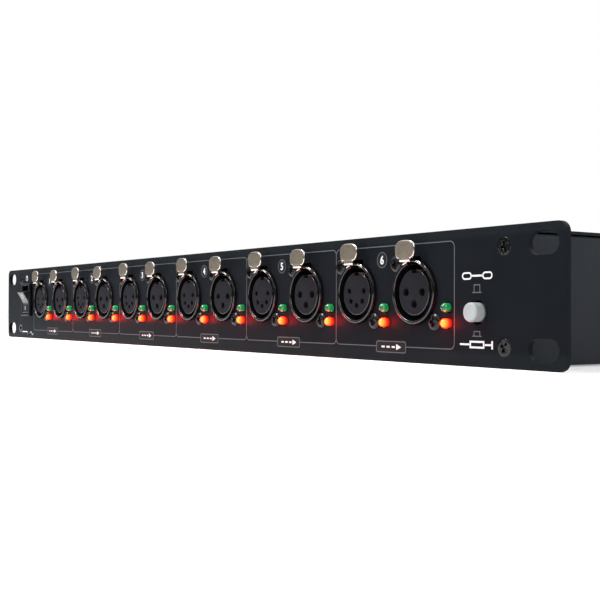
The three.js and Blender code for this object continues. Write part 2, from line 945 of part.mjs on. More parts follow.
// Chassis plug with its pins, in the frame of its own axis
function makePlug(kind) {
  const front = -socket.noseProud;
  const floor = front + plug.cupDepth;
  const seat = caseBox.sheet + seatGap;
  const nose = turned(
    [
      [0, floor],
      [plug.cupRadius, floor],
      [plug.cupRadius, front],
      [socket.noseRadius - socket.lipChamfer, front],
      [socket.noseRadius, front + socket.lipChamfer],
      [socket.noseRadius, floor + seatGap],
      [0, floor + seatGap],
    ],
    sides.socket,
  );
  const bore = [circle(0, 0, (plug.cupRadius + socket.noseRadius) / 2, sides.socket)];
  const shell = joined([
    makeFlange(seat, bore),
    plateAcrossY(rectangle(0, 0, socket.bodyWidth, socket.bodyWidth), seat, floor, bore),
    plateAcrossY(rectangle(0, 0, socket.bodyWidth, socket.bodyWidth), floor, plug.bodyLength),
  ]);
  const pinFront = front + plug.pinRecess;
  const pins = contactPlaces(kind).map(([x, z]) =>
    turned(
      [
        [0, pinFront],
        [kind.pinRadius - plug.pinTip, pinFront],
        [kind.pinRadius, pinFront + plug.pinTip],
        [kind.pinRadius, floor + seatGap],
        [0, floor + seatGap],
      ],
      sides.contact,
      -x,
      z,
    ));
  const keyHalf = plug.keyWidth / 2;
  const keyLow = plug.cupRadius - plug.keyDepth;
  const keyTop = plug.cupRadius + seatGap;
  const key = block(-keyHalf, keyHalf, front + plug.pinRecess, floor + seatGap, keyLow, keyTop);
  return joined([nose, shell, key, ...pins]);
}

// Mains inlet housing with its three blades and the drawer's pocket
function makeInlet() {
  const flange = plateAcrossY(
    roundedRectangle(0, 0, inlet.flangeWidth, inlet.flangeHeight, inlet.flangeCorner),
    -inlet.flangeThickness,
    -seatGap,
  );
  const body = plateAcrossY(
    rectangle(0, 0, inlet.bodyWidth, inlet.bodyHeight),
    -inlet.flangeThickness + seatGap,
    inlet.bodyDepth,
  );
  const halfWidth = inlet.wellWidth / 2;
  const halfHeight = inlet.wellHeight / 2;
  const top = inlet.wellRise + halfHeight;
  const low = inlet.wellRise - halfHeight;
  const wellOutline = [
    new THREE.Vector2(halfWidth, low),
    new THREE.Vector2(halfWidth, top - inlet.wellChamfer),
    new THREE.Vector2(halfWidth - inlet.wellChamfer, top),
    new THREE.Vector2(-halfWidth + inlet.wellChamfer, top),
    new THREE.Vector2(-halfWidth, top - inlet.wellChamfer),
    new THREE.Vector2(-halfWidth, low),
  ];
  const wellFloor = -inlet.flangeThickness + inlet.wellDepth;
  const well = plateAcrossY(wellOutline, -inlet.flangeThickness - overrun, wellFloor);
  const pocketHalf = inlet.drawerWidth / 2 + seatGap;
  const pocketRise = inlet.drawerHeight / 2 + seatGap;
  const pocket = block(
    -pocketHalf,
    pocketHalf,
    -inlet.flangeThickness - overrun,
    inlet.drawerDepth + seatGap,
    -inlet.drawerDrop - pocketRise,
    -inlet.drawerDrop + pocketRise,
  );
  const bladeFront = wellFloor - inlet.bladeLength;
  const places = [
    [-inlet.bladeSpan / 2, inlet.wellRise - inlet.bladeStep],
    [inlet.bladeSpan / 2, inlet.wellRise - inlet.bladeStep],
    [0, inlet.wellRise + inlet.bladeStep],
  ];
  const blades = places.map(([x, z]) => {
    const thick = inlet.bladeWidth / 2;
    const rise = inlet.bladeHeight / 2;
    return block(x - thick, x + thick, bladeFront, wellFloor + overrun, z - rise, z + rise);
  });
  const terminals = places.map(([x, z]) => {
    const thick = inlet.terminalThickness / 2;
    const rise = inlet.terminalWidth / 2;
    const back = inlet.bodyDepth + inlet.terminalLength;
    return block(x - thick, x + thick, inlet.bodyDepth - overrun, back, z - rise, z + rise);
  });
  return joined([cut(flange.add(body), [well, pocket]), ...blades, ...terminals]);
}

// Fuse drawer: a trough behind a face plate with a finger grip
function makeDrawer() {
  const half = inlet.drawerWidth / 2;
  const rise = inlet.drawerHeight / 2;
  const front = -inlet.flangeThickness - inlet.drawerProud;
  const middle = -inlet.drawerDrop;
  const box = block(-half, half, front, inlet.drawerDepth, middle - rise, middle + rise);
  const troughHalf = half - inlet.drawerWall;
  const troughFront = front + inlet.drawerFace;
  const trough = block(
    -troughHalf,
    troughHalf,
    troughFront,
    inlet.drawerDepth - inlet.drawerWall,
    middle - rise + inlet.drawerWall,
    middle + rise + overrun,
  );
  const gripHalf = inlet.gripWidth / 2;
  const grip = block(
    -gripHalf,
    gripHalf,
    front - overrun,
    front + inlet.gripDepth,
    middle + rise - inlet.gripHeight,
    middle + rise + overrun,
  );
  return cut(box, [trough, grip]);
}

// Glass fuse lying across the drawer
function makeFuse() {
  const y = fusePlace();
  const z = -inlet.drawerDrop - inlet.drawerHeight / 2 + inlet.drawerWall + seatGap + fuse.capRadius;
  const tube = barAlongX(circle(y, z, fuse.radius, sides.small), 0, fuse.length - fuse.capLength);
  const offset = (fuse.length - fuse.capLength) / 2;
  const caps = [-1, 1].map((side) =>
    barAlongX(circle(y, z, fuse.capRadius, sides.small), side * offset, fuse.capLength));
  return joined([tube, ...caps]);
}

function fusePlace() {
  const front = -inlet.flangeThickness - inlet.drawerProud + inlet.drawerFace;
  return front + seatGap + fuse.capRadius;
}

// Upright board behind the sockets, with a pair of lamps soldered to it beside each
function makeFrontBoard() {
  const { leftEdge, rightEdge, bottom, top, thickness } = frontBoard;
  const board = block(leftEdge, rightEdge, boardFace, boardFace + thickness, bottom, top);
  return joined([board, ...outputPlaces().map(({ x }) => makeLampPair(x))]);
}

// Main board with its chips, capacitors, header and cooler
function makeMainBoard() {
  const under = caseBox.floorHeight + caseBox.sheet + mainBoard.bossHeight + seatGap;
  const top = under + mainBoard.thickness;
  const sink = mainBoard.thickness / 2;
  const solids = [block(mainBoard.left, mainBoard.right, mainBoard.front, mainBoard.back, under, top)];
  for (let i = 0; i < mainBoard.chipCount; i += 1) {
    const x = mainBoard.left + mainBoard.chipPlace + mainBoard.chipPitch * i;
    const y = mainBoard.front + mainBoard.chipPlace;
    solids.push(block(
      x,
      x + mainBoard.chipWidth,
      y,
      y + mainBoard.chipLength,
      top - sink,
      top + mainBoard.chipHeight,
    ));
  }
  const capacitorY = mainBoard.back - mainBoard.capacitorInset;
  for (let i = 0; i < mainBoard.capacitorCount; i += 1) {
    const x = mainBoard.left + mainBoard.capacitorInset + mainBoard.capacitorPitch * i;
    const height = top + mainBoard.capacitorHeight;
    solids.push(rodAlongZ(x, capacitorY, mainBoard.capacitorRadius, top - sink, height, 2 * sides.small));
  }
  const headerX = (mainBoard.left + mainBoard.right) / 2;
  solids.push(block(
    headerX - mainBoard.headerLength / 2,
    headerX + mainBoard.headerLength / 2,
    mainBoard.front,
    mainBoard.front + mainBoard.headerWidth,
    top - sink,
    top + mainBoard.headerHeight,
  ));
  solids.push(makeCooler(mainBoard.left + mainBoard.coolerPlace, capacitorY, top - sink));
  return joined(solids);
}

// Finned cooler for the regulator: a comb extruded upwards
function makeCooler(x, y, bottom) {
  const { coolerWidth, coolerThickness, coolerHeight, coolerSlot, coolerFins } = mainBoard;
  const base = block(x, x + coolerWidth, y, y + coolerThickness, bottom, bottom + coolerHeight);
  const fin = (coolerWidth - coolerSlot * (coolerFins - 1)) / coolerFins;
  const slots = [];
  for (let i = 1; i < coolerFins; i += 1) {
    const left = x + fin * i + coolerSlot * (i - 1);
    slots.push(block(
      left,
      left + coolerSlot,
      y - overrun,
      y + coolerThickness - coolerSlot,
      bottom - overrun,
      bottom + coolerHeight + overrun,
    ));
  }
  return cut(base, slots);
}

// Laminated core with two windows, on a foot plate
function makeCore() {
  const { coreWidth, coreHeight, stack, limb, x, y } = transformer;
  const bottom = caseBox.floorHeight + caseBox.sheet + seatGap;
  const centre = bottom + coreHeight / 2;
  const windowWidth = (coreWidth - 4 * limb) / 2;
  const windowHeight = coreHeight - 2 * limb;
  const windows = [-1, 1].map((side) =>
    rectangle(x + side * (limb + windowWidth / 2), centre, windowWidth, windowHeight));
  const core = plateAcrossY(
    rectangle(x, centre, coreWidth, coreHeight),
    y - stack / 2,
    y + stack / 2,
    windows,
  );
  const footHalf = coreWidth / 2 + transformer.footLength;
  const holes = [-1, 1].map((side) =>
    circle(x + side * (footHalf - transformer.footLength / 2), y, transformer.footHoleRadius, sides.small));
  const foot = slabAcrossZ(
    rectangle(x, y, 2 * footHalf, stack),
    bottom,
    bottom + transformer.footThickness,
    holes,
  );
  return core.add(foot);
}

// Bobbin and winding round the middle limb
function makeWinding() {
  const { coreWidth, coreHeight, stack, limb, x, y, bobbinLip } = transformer;
  const bottom = caseBox.floorHeight + caseBox.sheet + seatGap;
  const centre = bottom + coreHeight / 2;
  const windowWidth = (coreWidth - 4 * limb) / 2;
  const windowHeight = coreHeight - 2 * limb;
  const outerWidth = 2 * (limb + windowWidth) - 2 * seatGap;
  const holeWidth = 2 * (limb + seatGap);
  const outline = roundedRectangle(x, y, outerWidth, stack + 2 * bobbinLip, windowWidth / 2);
  const hole = rectangle(x, y, holeWidth, stack + 2 * seatGap);
  const half = windowHeight / 2 - seatGap;
  return slabAcrossZ(outline, centre - half, centre + half, [hole]);
}

// Assembly

function placed(mesh, x, y, z, turn = 0) {
  mesh.position.set(x, y, z);
  mesh.rotation.z = turn;
  return mesh;
}

function frontPieces() {
  const group = new THREE.Group();
  const floor = socket.boreDepth - socket.noseProud;
  for (const { number, kind, reach, x } of outputPlaces()) {
    const label = `${kind.name}_${number}`;
    const add = (mesh) => group.add(placed(mesh, x, 0, outputs.height));
    const housing = makeHousing(panel.thickness, boardFace - seatGap);
    add(piece(`output_socket_${label}`, housing, colours.socketPlastic));
    add(piece(`contact_insert_${label}`, makeInsert(kind, floor - seatGap), colours.insertPlastic));
    add(piece(`latch_${label}`, makeLatch(reach), colours.nickel));
  }
  return group;
}

function rearPieces() {
  const group = new THREE.Group();
  const add = (mesh, x) => group.add(placed(mesh, x, caseBack, rear.height, Math.PI));
  add(piece('input_plug_3pin', makePlug(threePin), colours.socketPlastic), rear.inputThreeX);
  add(piece('input_plug_5pin', makePlug(fivePin), colours.socketPlastic), rear.inputFiveX);
  add(piece('link_socket_3pin', makeLinkSocket(threePin), colours.socketPlastic), rear.linkThreeX);
  add(piece('link_socket_5pin', makeLinkSocket(fivePin), colours.socketPlastic), rear.linkFiveX);
  add(piece('link_latch_3pin', makeLatch(latch.reachThreePin), colours.nickel), rear.linkThreeX);
  add(piece('link_latch_5pin', makeLatch(latch.reachFivePin), colours.nickel), rear.linkFiveX);
  add(piece('mains_inlet', makeInlet(), colours.blackPlastic), rear.inletX);
  add(piece('fuse_drawer', makeDrawer(), colours.blackPlastic), rear.inletX);
  add(piece('fuse', makeFuse(), colours.fuseGlass), rear.inletX);
  return group;
}

function controls() {
  const group = new THREE.Group();
  const add = (mesh, place) => group.add(placed(mesh, place.x, 0, place.height));
  add(piece('switch_housing', makeRockerHousing(), colours.blackPlastic), rocker);
  add(piece('power_rocker', makeRocker(), colours.rockerPlastic), rocker);
  add(piece('button_switch', makeButtonBody(), colours.blackPlastic), button);
  add(piece('terminate_button', makeButtonCap(), colours.buttonPlastic), button);
  return group;
}

function caseAndInside() {
  const group = new THREE.Group();
  group.add(piece('front_panel', makePanel(), colours.panelPaint));
  group.add(piece('chassis_tray', makeTray(), colours.casePaint));
  group.add(piece('top_cover', makeLid(), colours.casePaint));
  group.add(piece('front_board', makeFrontBoard(), colours.board));
  group.add(piece('main_board', makeMainBoard(), colours.board));
  group.add(piece('transformer_core', makeCore(), colours.laminations));
  group.add(piece('transformer_winding', makeWinding(), colours.winding));
  screwPlaces().forEach(([x, z], i) => {
    group.add(placed(piece(`panel_screw_${i + 1}`, makeScrew(), colours.blackScrew), x, 0, z));
  });
  return group;
}

const splitter = new THREE.Group();
splitter.add(caseAndInside(), frontPieces(), controls(), rearPieces());

// The origin is the middle of the footprint, at the height of the panel's bottom edge
const extent = new THREE.Box3().setFromObject(splitter, true);
splitter.position.y = -(extent.min.y + extent.max.y) / 2;

export default splitter;
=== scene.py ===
"""Dressed model of a six-way DMX splitter in a one-unit rack case.

The packed solids are loaded as a fixed frame. Each operator builds one piece or
one group of like pieces in its place, and a panel in the sidebar lists them.
Lengths are in metres. X runs along the front panel, -Y points out of it.
"""

import math

import bmesh
import bpy
from bpy.props import FloatProperty, FloatVectorProperty, IntProperty, PointerProperty
from mathutils import Matrix, Vector


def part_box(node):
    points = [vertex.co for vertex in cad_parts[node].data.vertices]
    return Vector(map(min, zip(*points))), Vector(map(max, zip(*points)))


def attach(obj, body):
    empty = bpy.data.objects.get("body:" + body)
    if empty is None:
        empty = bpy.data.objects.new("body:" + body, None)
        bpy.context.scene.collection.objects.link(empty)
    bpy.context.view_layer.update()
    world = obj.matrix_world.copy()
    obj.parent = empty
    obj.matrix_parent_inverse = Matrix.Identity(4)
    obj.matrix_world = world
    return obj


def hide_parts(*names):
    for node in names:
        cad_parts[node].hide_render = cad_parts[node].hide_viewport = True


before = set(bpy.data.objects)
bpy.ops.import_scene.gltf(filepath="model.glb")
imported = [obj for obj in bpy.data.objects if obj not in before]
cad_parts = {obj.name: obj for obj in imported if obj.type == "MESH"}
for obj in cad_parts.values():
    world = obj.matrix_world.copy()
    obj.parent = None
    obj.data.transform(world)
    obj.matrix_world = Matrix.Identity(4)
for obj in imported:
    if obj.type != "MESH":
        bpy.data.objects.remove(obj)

bl_info = {
    "name": "DMX splitter",
    "version": (1, 0, 0),
    "blender": (4, 5, 0),
    "location": "3D View > Sidebar > Splitter",
    "description": "Builds the pieces of a six-way DMX splitter round its packed solids",
    "category": "Object",
}

MM = 0.001
FULL_TURN = 2 * math.pi
HALF_TURN = math.pi
QUARTER = math.pi / 2
# Points closer than this are taken as one
WELD = 1e-7
# Edges sharper than this stay sharp in the shading
CREASE = math.radians(38)

# Places that come from the packed solids
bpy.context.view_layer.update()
PLATE_LOW, PLATE_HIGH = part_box("front_panel")
TRAY_LOW, TRAY_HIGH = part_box("chassis_tray")
LID_LOW, LID_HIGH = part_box("top_cover")
PANEL_FACE = PLATE_LOW.y
REAR_FACE = TRAY_HIGH.y
PLATE_THICKNESS = PLATE_HIGH.y - PLATE_LOW.y


def linear(red, green, blue):
    """Scene colour of a display colour whose parts run from 0 to 255."""

    def channel(value):
        share = value / 255
        return share / 12.92 if share <= 0.04045 else ((share + 0.055) / 1.055) ** 2.4

    return channel(red), channel(green), channel(blue)


# Settings


def millimetres(name, description, *values):
    """Property that holds a length, or a pair of lengths."""
    metres = tuple(value * MM for value in values)
    if len(metres) == 1:
        return FloatProperty(
            name=name, description=description, default=metres[0], unit="LENGTH")
    return FloatVectorProperty(
        name=name, description=description, size=len(metres), default=metres, unit="LENGTH")


def tint(name, description, colour):
    """Property that holds a colour."""
    return FloatVectorProperty(
        name=name, description=description, size=3, default=colour, subtype="COLOR")


class PlateSettings(bpy.types.PropertyGroup):
    """Front plate: its slots, edges and paint."""

    corner_radius: millimetres("Corner radius", "Radius of the plate's corners", 3.4)
    slot_length: millimetres("Slot length", "Length of a rack slot", 12)
    slot_height: millimetres("Slot height", "Height of a rack slot", 7)
    slot_span: millimetres(
        "Slot span", "Distance between the slots' centres along X and Z", 465.1, 31.75)
    edge: millimetres("Edge rounding", "Rounding of every painted sheet edge", 0.12)
    paint: tint("Paint", "Colour of the plate's powder coat", (0.0077, 0.0095, 0.0128))
    border_paint: tint(
        "Border paint", "Colour of the coat above and below the frames", (0.0112, 0.0142, 0.0172))


class OutputSettings(bpy.types.PropertyGroup):
    """Row of output groups on the front plate."""

    count: IntProperty(name="Groups", description="Number of output groups", default=6, min=1)
    first_edge: millimetres("First edge", "X of the first group's left edge", -192.5)
    pitch: millimetres("Pitch", "Distance from one group to the next", 64.5)
    five_pin: millimetres(
        "Five-pin place", "Distance of the five-pin socket from its group's left edge", 13.1)
    three_pin: millimetres(
        "Three-pin place", "Distance of the three-pin socket from its group's left edge", 45.1)
    height: millimetres("Socket height", "Z of the sockets' axes", 24)


class SocketSettings(bpy.types.PropertyGroup):
    """Round locking sockets and plugs."""

    nose_radius: millimetres("Nose radius", "Outer radius of the ring in the panel's hole", 10.9)
    nose_proud: millimetres("Nose proud", "How far the ring stands in front of the sheet", 1.3)
    bore_radius: millimetres("Bore radius", "Radius of the bore that takes the plug's shell", 9.75)
    bore_depth: millimetres("Bore depth", "Depth of that bore", 13.8)
    insert_radius: millimetres("Insert radius", "Radius of the contact insert", 7.85)
    insert_recess: millimetres(
        "Insert recess", "How far the insert lies behind the ring's face", 0.7)
    body_width: millimetres("Body width", "Side of the square housing behind the sheet", 23.6)
    flange: millimetres("Flange", "Width and height of the flange behind the sheet", 26, 27)
    cup_radius: millimetres("Cup radius", "Inner radius of a chassis plug", 8)
    screw_offset: millimetres(
        "Screw offset", "Distance of each fixing screw from the axis, along X and Z", 9.9)
    shell_colour: tint("Shell colour", "Colour of the housing", linear(15, 15, 17))
    insert_colour: tint("Insert colour", "Colour of the contact insert", linear(33, 33, 38))


class LatchSettings(bpy.types.PropertyGroup):
    """Bent nickel levers that lock the plugs."""

    sheet: millimetres("Sheet", "Thickness of the strip", 0.8)
    arm_width: millimetres("Arm width", "Width of the lever's arm", 5.3)
    arm_height: millimetres(
        "Arm height", "Height of the arm's underside over the socket's axis", 10.1)
    tab_size: millimetres("Tab size", "Width and height of the thumb tab", 9.9, 6.5)
    tab_bottom: millimetres(
        "Tab bottom", "Height of the tab's lower edge over the socket's axis", 11.5)
    reach_3pin: millimetres(
        "Three-pin reach", "How far a three-pin socket's tab stands in front of the sheet", 5)
    reach_5pin: millimetres(
        "Five-pin reach", "How far a five-pin socket's tab stands in front of the sheet", 4.6)
    pivot_depth: millimetres("Pivot depth", "Depth of the trunnions behind the sheet's face", 9)
    nickel: tint("Nickel", "Colour of the satin plating", linear(139, 130, 116))
    # Painted highlight: a far lighter copy of the satin nickel, for the lever's edges and its arm
    polished: tint(
        "Polished nickel", "Colour of the rubbed edges and the arm", linear(238, 232, 222))


class LampSettings(bpy.types.PropertyGroup):
    """Pairs of small lamps beside the sockets."""

    radius: millimetres("Radius", "Radius of a lamp's dome", 1.5)
    proud: millimetres("Proud", "How far a dome stands in front of the panel", 3.1)
    offset: millimetres("Offset", "Distance of the lamps from the socket's axis along X", 16.7)
    upper_drop: millimetres("Upper drop", "Drop of the upper lamp below the socket's axis", 5.2)
    pitch: millimetres("Pitch", "Distance between the two lamps", 5.08)
    green: tint("Green", "Colour of the upper lamp", linear(20, 110, 60))
    ember: tint("Ember", "Colour of the lit lamp near its middle", (1.0, 0.0115, 0.0008))
    red: tint("Red", "Colour of the lit lamp at its base", (0.007, 0.0001, 0.00005))
    heat: FloatProperty(name="Heat", description="Strength of the lit lamp", default=64.0)


class SwitchSettings(bpy.types.PropertyGroup):
    """Mains switch with its rocker."""

    place: millimetres("Place", "X and Z of the switch on the panel", -203, 24.5)
    bezel: millimetres("Bezel", "Width and height of the bezel", 15, 21)
    bezel_proud: millimetres("Bezel proud", "How far the bezel stands in front of the panel", 2.2)
    well: millimetres("Well", "Width and height of the opening in the bezel", 11.1, 17.8)
    rocker_width: millimetres("Rocker width", "Width of the rocker", 10.5)
    rocker_half: millimetres("Rocker half length", "Half of the rocker's length along Z", 6.8)
    edge_rise: millimetres("Edge rise", "Height of the rocker's ends over its pivot", 7.5)
    hollow: millimetres(
        "Hollow", "Depth of the valley between the two halves of the rocker's face", 1.85)
    valley: millimetres("Valley rounding", "Half width of the rounded bottom of that valley", 0.7)
    pivot_depth: millimetres("Pivot depth", "Depth of the pivot behind the panel's face", 3.4)
    tilt: FloatProperty(
        name="Tilt", description="Rest angle of the rocker, lower half pressed",
        default=math.radians(15), subtype="ANGLE")
    plastic: tint("Rocker plastic", "Colour of the rocker", linear(30, 36, 41))


class ButtonSettings(bpy.types.PropertyGroup):
    """Push button at the right end of the panel."""

    place: millimetres("Place", "X and Z of the button on the panel", 204.9, 17.3)
    cap_radius: millimetres("Cap radius", "Radius of the button's cap", 3.1)
    cap_proud: millimetres("Cap proud", "How far the cap stands in front of the panel", 3.3)
    hole_radius: millimetres("Hole radius", "Radius of the hole round the cap", 3.9)
    plastic: tint("Cap plastic", "Colour of the cap", linear(172, 177, 179))


class CaseSettings(bpy.types.PropertyGroup):
    """Folded tray and its lid."""

    sheet: millimetres("Sheet", "Thickness of the tray's sheet", 1.2)
    bend_radius: millimetres("Bend radius", "Outer radius of the tray's bends", 1.6)
    flange: millimetres("Top flange", "Width of the flanges under the lid", 11)
    paint: tint("Case paint", "Colour of the case's coat", linear(46, 49, 54))


class InletSettings(bpy.types.PropertyGroup):
    """Mains inlet with its fuse drawer on the rear wall."""

    flange: millimetres("Flange", "Width and height of the inlet's flange", 31, 35)
    flange_thickness: millimetres("Flange thickness", "Thickness of that flange", 2.2)
    well: millimetres("Well", "Width and height of the opening for the plug", 24, 16.2)
    well_rise: millimetres(
        "Well rise", "Height of the opening's centre over the inlet's centre", 6.2)
    drawer: millimetres("Drawer", "Width and height of the fuse drawer", 22.6, 8.4)
    drawer_drop: millimetres("Drawer drop", "Drop of the drawer below the inlet's centre", 9.6)
    plastic: tint("Inlet plastic", "Colour of the inlet", linear(26, 27, 30))


class PrintSettings(bpy.types.PropertyGroup):
    """Printed frames, numbers and symbols."""

    line: millimetres("Line", "Width of the printed lines", 0.32)
    frame_bottom: millimetres("Frame bottom", "Z of the frames' lower line", 5.3)
    frame_top: millimetres("Frame top", "Z of the frames' upper line", 40.4)
    frame_corner: millimetres("Frame corner", "Radius of the frames' corners", 2)
    disc_radius: millimetres("Disc radius", "Radius of the disc round a group's number", 2.8)
    line_colour: tint("Line ink", "Colour of lines and outlines", linear(94, 98, 102))
    sign_colour: tint("Sign ink", "Colour of numbers and symbols", linear(236, 238, 240))


class StudioSettings(bpy.types.PropertyGroup):
    """Camera, lamps and floor."""

    camera_place: FloatVectorProperty(
        name="Camera place", description="Where the camera stands",
        size=3, default=(0.44395, -0.30596, 0.01728), subtype="TRANSLATION", unit="LENGTH")
    camera_turn: FloatProperty(
        name="Camera turn", description="Heading, from +Y towards -X",
        default=0.972951, subtype="ANGLE")
    camera_lift: FloatProperty(
        name="Camera lift", description="Upward tilt", default=0.0113474, subtype="ANGLE")
    camera_roll: FloatProperty(
        name="Camera roll", description="Roll about the line of sight",
        default=0.0032721, subtype="ANGLE")
    lens: FloatProperty(
        name="Lens", description="Focal length on a 36 mm sensor, in millimetres",
        default=62.31, subtype="DISTANCE_CAMERA")
    floor: tint("Floor", "Colour of the floor", (0.86, 0.86, 0.86))
    room: tint("Room", "What the panel mirrors from low in front of it", (0.026, 0.03, 0.036))
    ambient: FloatProperty(
        name="Ambient", description="Strength of the light from all round", default=0.46)
    key_power: FloatProperty(
        name="Key power", description="Power of the large lamp over the front",
        default=9, subtype="POWER", unit="POWER")
    fill_power: FloatProperty(
        name="Fill power", description="Power of the lamps at the right and behind",
        default=2.5, subtype="POWER", unit="POWER")
    top_power: FloatProperty(
        name="Top power", description="Power of the small lamp overhead",
        default=8, subtype="POWER", unit="POWER")


SETTINGS = {
    "plate": PlateSettings,
    "outputs": OutputSettings,
    "socket": SocketSettings,
    "latch": LatchSettings,
    "lamp": LampSettings,
    "switch": SwitchSettings,
    "button": ButtonSettings,
    "case": CaseSettings,
    "inlet": InletSettings,
    "ink": PrintSettings,
    "studio": StudioSettings,
}


def settings(group):
    """One group of settings, as the scene holds it."""
    return getattr(bpy.context.scene, "splitter_" + group)


# Shaders


class Signal:
    """A node's output that takes part in Python expressions."""

    def __init__(self, shader, socket):
        self.shader = shader
        self.socket = socket

    def math(self, operation, *values):
        return self.shader.node("ShaderNodeMath", dict(enumerate(values)), operation=operation)

    def __add__(self, other):
        return self.math("ADD", self, other)

    __radd__ = __add__

    def __sub__(self, other):
        return self.math("SUBTRACT", self, other)

    def __rsub__(self, other):
        return self.math("SUBTRACT", other, self)

    def __mul__(self, other):
        return self.math("MULTIPLY", self, other)

    __rmul__ = __mul__

    def __truediv__(self, other):
        return self.math("DIVIDE", self, other)

    def __rtruediv__(self, other):
        return self.math("DIVIDE", other, self)

    def __pow__(self, other):
        return self.math("POWER", self, other)

    def spread(self, low, high, new_low=0.0, new_high=1.0):
        """The value moved from one range to another and held there."""
        sockets = {0: self, 1: low, 2: high, 3: new_low, 4: new_high}
        return self.shader.node("ShaderNodeMapRange", sockets, clamp=True)

    def levelled(self, new_low=0.0, new_high=1.0):
        """A noise, most of which lies from 0.3 to 0.7, moved to another range."""
        return self.spread(0.3, 0.7, new_low, new_high)


class Shader:
    """Adds nodes to one tree and links what they are given."""

    def __init__(self, tree):
        self.tree = tree

    def node(self, kind, sockets=None, output=0, stops=None, **options):
        """A new node's output, or the node itself if it has none."""
        made = self.tree.nodes.new(kind)
        for key, value in options.items():
            setattr(made, key, value)
        if stops:
            self.set_stops(made.color_ramp, stops)
        self.plug(made, sockets or {})
        return Signal(self, made.outputs[output]) if made.outputs else made

    def plug(self, node, sockets):
        for key, value in sockets.items():
            if isinstance(value, Signal):
                self.tree.links.new(value.socket, node.inputs[key])
            elif isinstance(value, tuple) and node.inputs[key].type == "RGBA":
                node.inputs[key].default_value = (*value, 1)
            else:
                node.inputs[key].default_value = value

    @staticmethod
    def set_stops(ramp, stops):
        ramp.elements[0].position = stops[0][0]
        ramp.elements[1].position = stops[-1][0]
        for position, _ in stops[1:-1]:
            ramp.elements.new(position)
        for element, (_, colour) in zip(ramp.elements, stops):
            element.color = (*colour, 1)

    def place(self):
        """Coordinates of the surface in its piece's own frame."""
        return self.node("ShaderNodeTexCoord", output=3)

    def parts(self, vector):
        split = self.node("ShaderNodeSeparateXYZ", {0: vector})
        return [Signal(self, output) for output in split.socket.node.outputs]

    def rays(self, *names):
        """1 for rays of a named sort, otherwise 0."""
        path = self.node("ShaderNodeLightPath").socket.node
        return [Signal(self, path.outputs[name]) for name in names]

    def noise(self, size, detail=2.0, vector=None):
        sockets = {"Vector": vector or self.place(), "Scale": 1 / size, "Detail": detail}
        return self.node("ShaderNodeTexNoise", sockets)

    def blend(self, factor, first, second):
        return self.node("ShaderNodeMix", {0: factor, 6: first, 7: second}, 2, data_type="RGBA")

    def varied(self, tone, colour, amount):
        """The colour made darker or lighter by up to that amount."""
        return self.blend(tone, shade_of(colour, 1 - amount), shade_of(colour, 1 + amount))

    def bump(self, height, distance, strength=0.5):
        sockets = {"Height": height, "Distance": distance, "Strength": strength}
        return self.node("ShaderNodeBump", sockets)


WHITE = (1.0, 1.0, 1.0)
FINISHES = {}


def finish(name, build):
    """The material of that name, built the first time that it is asked for."""
    if name not in FINISHES:
        material = bpy.data.materials.new(name)
        material.use_nodes = True
        shader = Shader(material.node_tree)
        surface = material.node_tree.nodes["Principled BSDF"]
        shader.plug(surface, build(shader))
        FINISHES[name] = material
    return FINISHES[name]


def shade_of(colour, factor):
    """The colour, that many times as bright."""
    return tuple(part * factor for part in colour)


def plate_paint():
    """The front plate's coat, a little lighter outside the frames."""
    look, ink = settings("plate"), settings("ink")
    fade = 1.5 * MM
    darkest, lightest = 0.84, 1.16

    def build(shader):
        fine = shader.noise(0.5 * MM)
        _, _, z = shader.parts(shader.place())
        above = z.spread(ink.frame_top, ink.frame_top + fade)
        below = z.spread(ink.frame_bottom, ink.frame_bottom - fade)
        base = shader.blend(above + below, tuple(look.paint), tuple(look.border_paint))
        tone = (0.6 * shader.noise(22 * MM, 3.0) + 0.4 * fine).levelled(darkest, lightest)
        return {
            "Base Color": shader.node(
                "ShaderNodeVectorMath", {0: base, "Scale": tone}, operation="SCALE"),
            "Roughness": tone.spread(darkest, lightest, 0.38, 0.48),
            "Normal": shader.bump(fine, 0.03 * MM),
            "Specular IOR Level": 0.036,
        }

    return finish("plate_paint", build)


def case_coat(name, shade=1.0):
    """Fine textured paint: a grain that only the light shows, and a faint mottle. A shade below 1
    makes a darker copy of it, which is painted shade.
    """
    colour = shade_of(settings("case").paint, shade)

    def build(shader):
        fine = shader.noise(0.6 * MM)
        tone = (0.5 * shader.noise(14 * MM, 3.0) + 0.5 * fine).levelled()
        return {
            "Base Color": shader.varied(tone, colour, 0.14),
            "Roughness": tone.spread(0, 1, 0.49, 0.61),
            "Normal": shader.bump(fine, 0.03 * MM, 0.6),
            "Specular IOR Level": 0.06,
        }

    return finish(name, build)


def moulded(name, colour, roughness, specular, mottle=0.1, grain=0.6 * MM, relief=0.01 * MM):
    """Moulded plastic with a fine skin and a little unevenness in its gloss."""

    def build(shader):
        broad, fine = shader.noise(5 * MM), shader.noise(grain, 3.0)
        return {
            "Base Color": shader.varied((0.5 * broad + 0.5 * fine).levelled(), colour, mottle),
            "Roughness": broad.levelled(roughness * 0.85, roughness * 1.15),
            "Normal": shader.bump(fine, relief),
            "Specular IOR Level": specular,
        }

    return finish(name, build)


def metal(name, colour, roughness, streak=(1.0, 1.0, 1.0), speckle=0.18, grain=0.35 * MM):
    """Bare or plated metal; the streak stretches its grain along one way."""

    def build(shader):
        stretched = shader.node(
            "ShaderNodeVectorMath", {0: shader.place(), 1: streak}, operation="MULTIPLY")
        fine = shader.noise(grain, 3.0, stretched)
        tone = (0.65 * fine + 0.35 * shader.noise(3 * MM)).levelled()
        return {
            "Base Color": shader.varied(tone, colour, speckle),
            "Metallic": 1.0,
            "Roughness": tone.spread(0, 1, roughness + 0.06, roughness - 0.06),
            "Normal": shader.bump(fine, 0.015 * MM),
        }

    return finish(name, build)


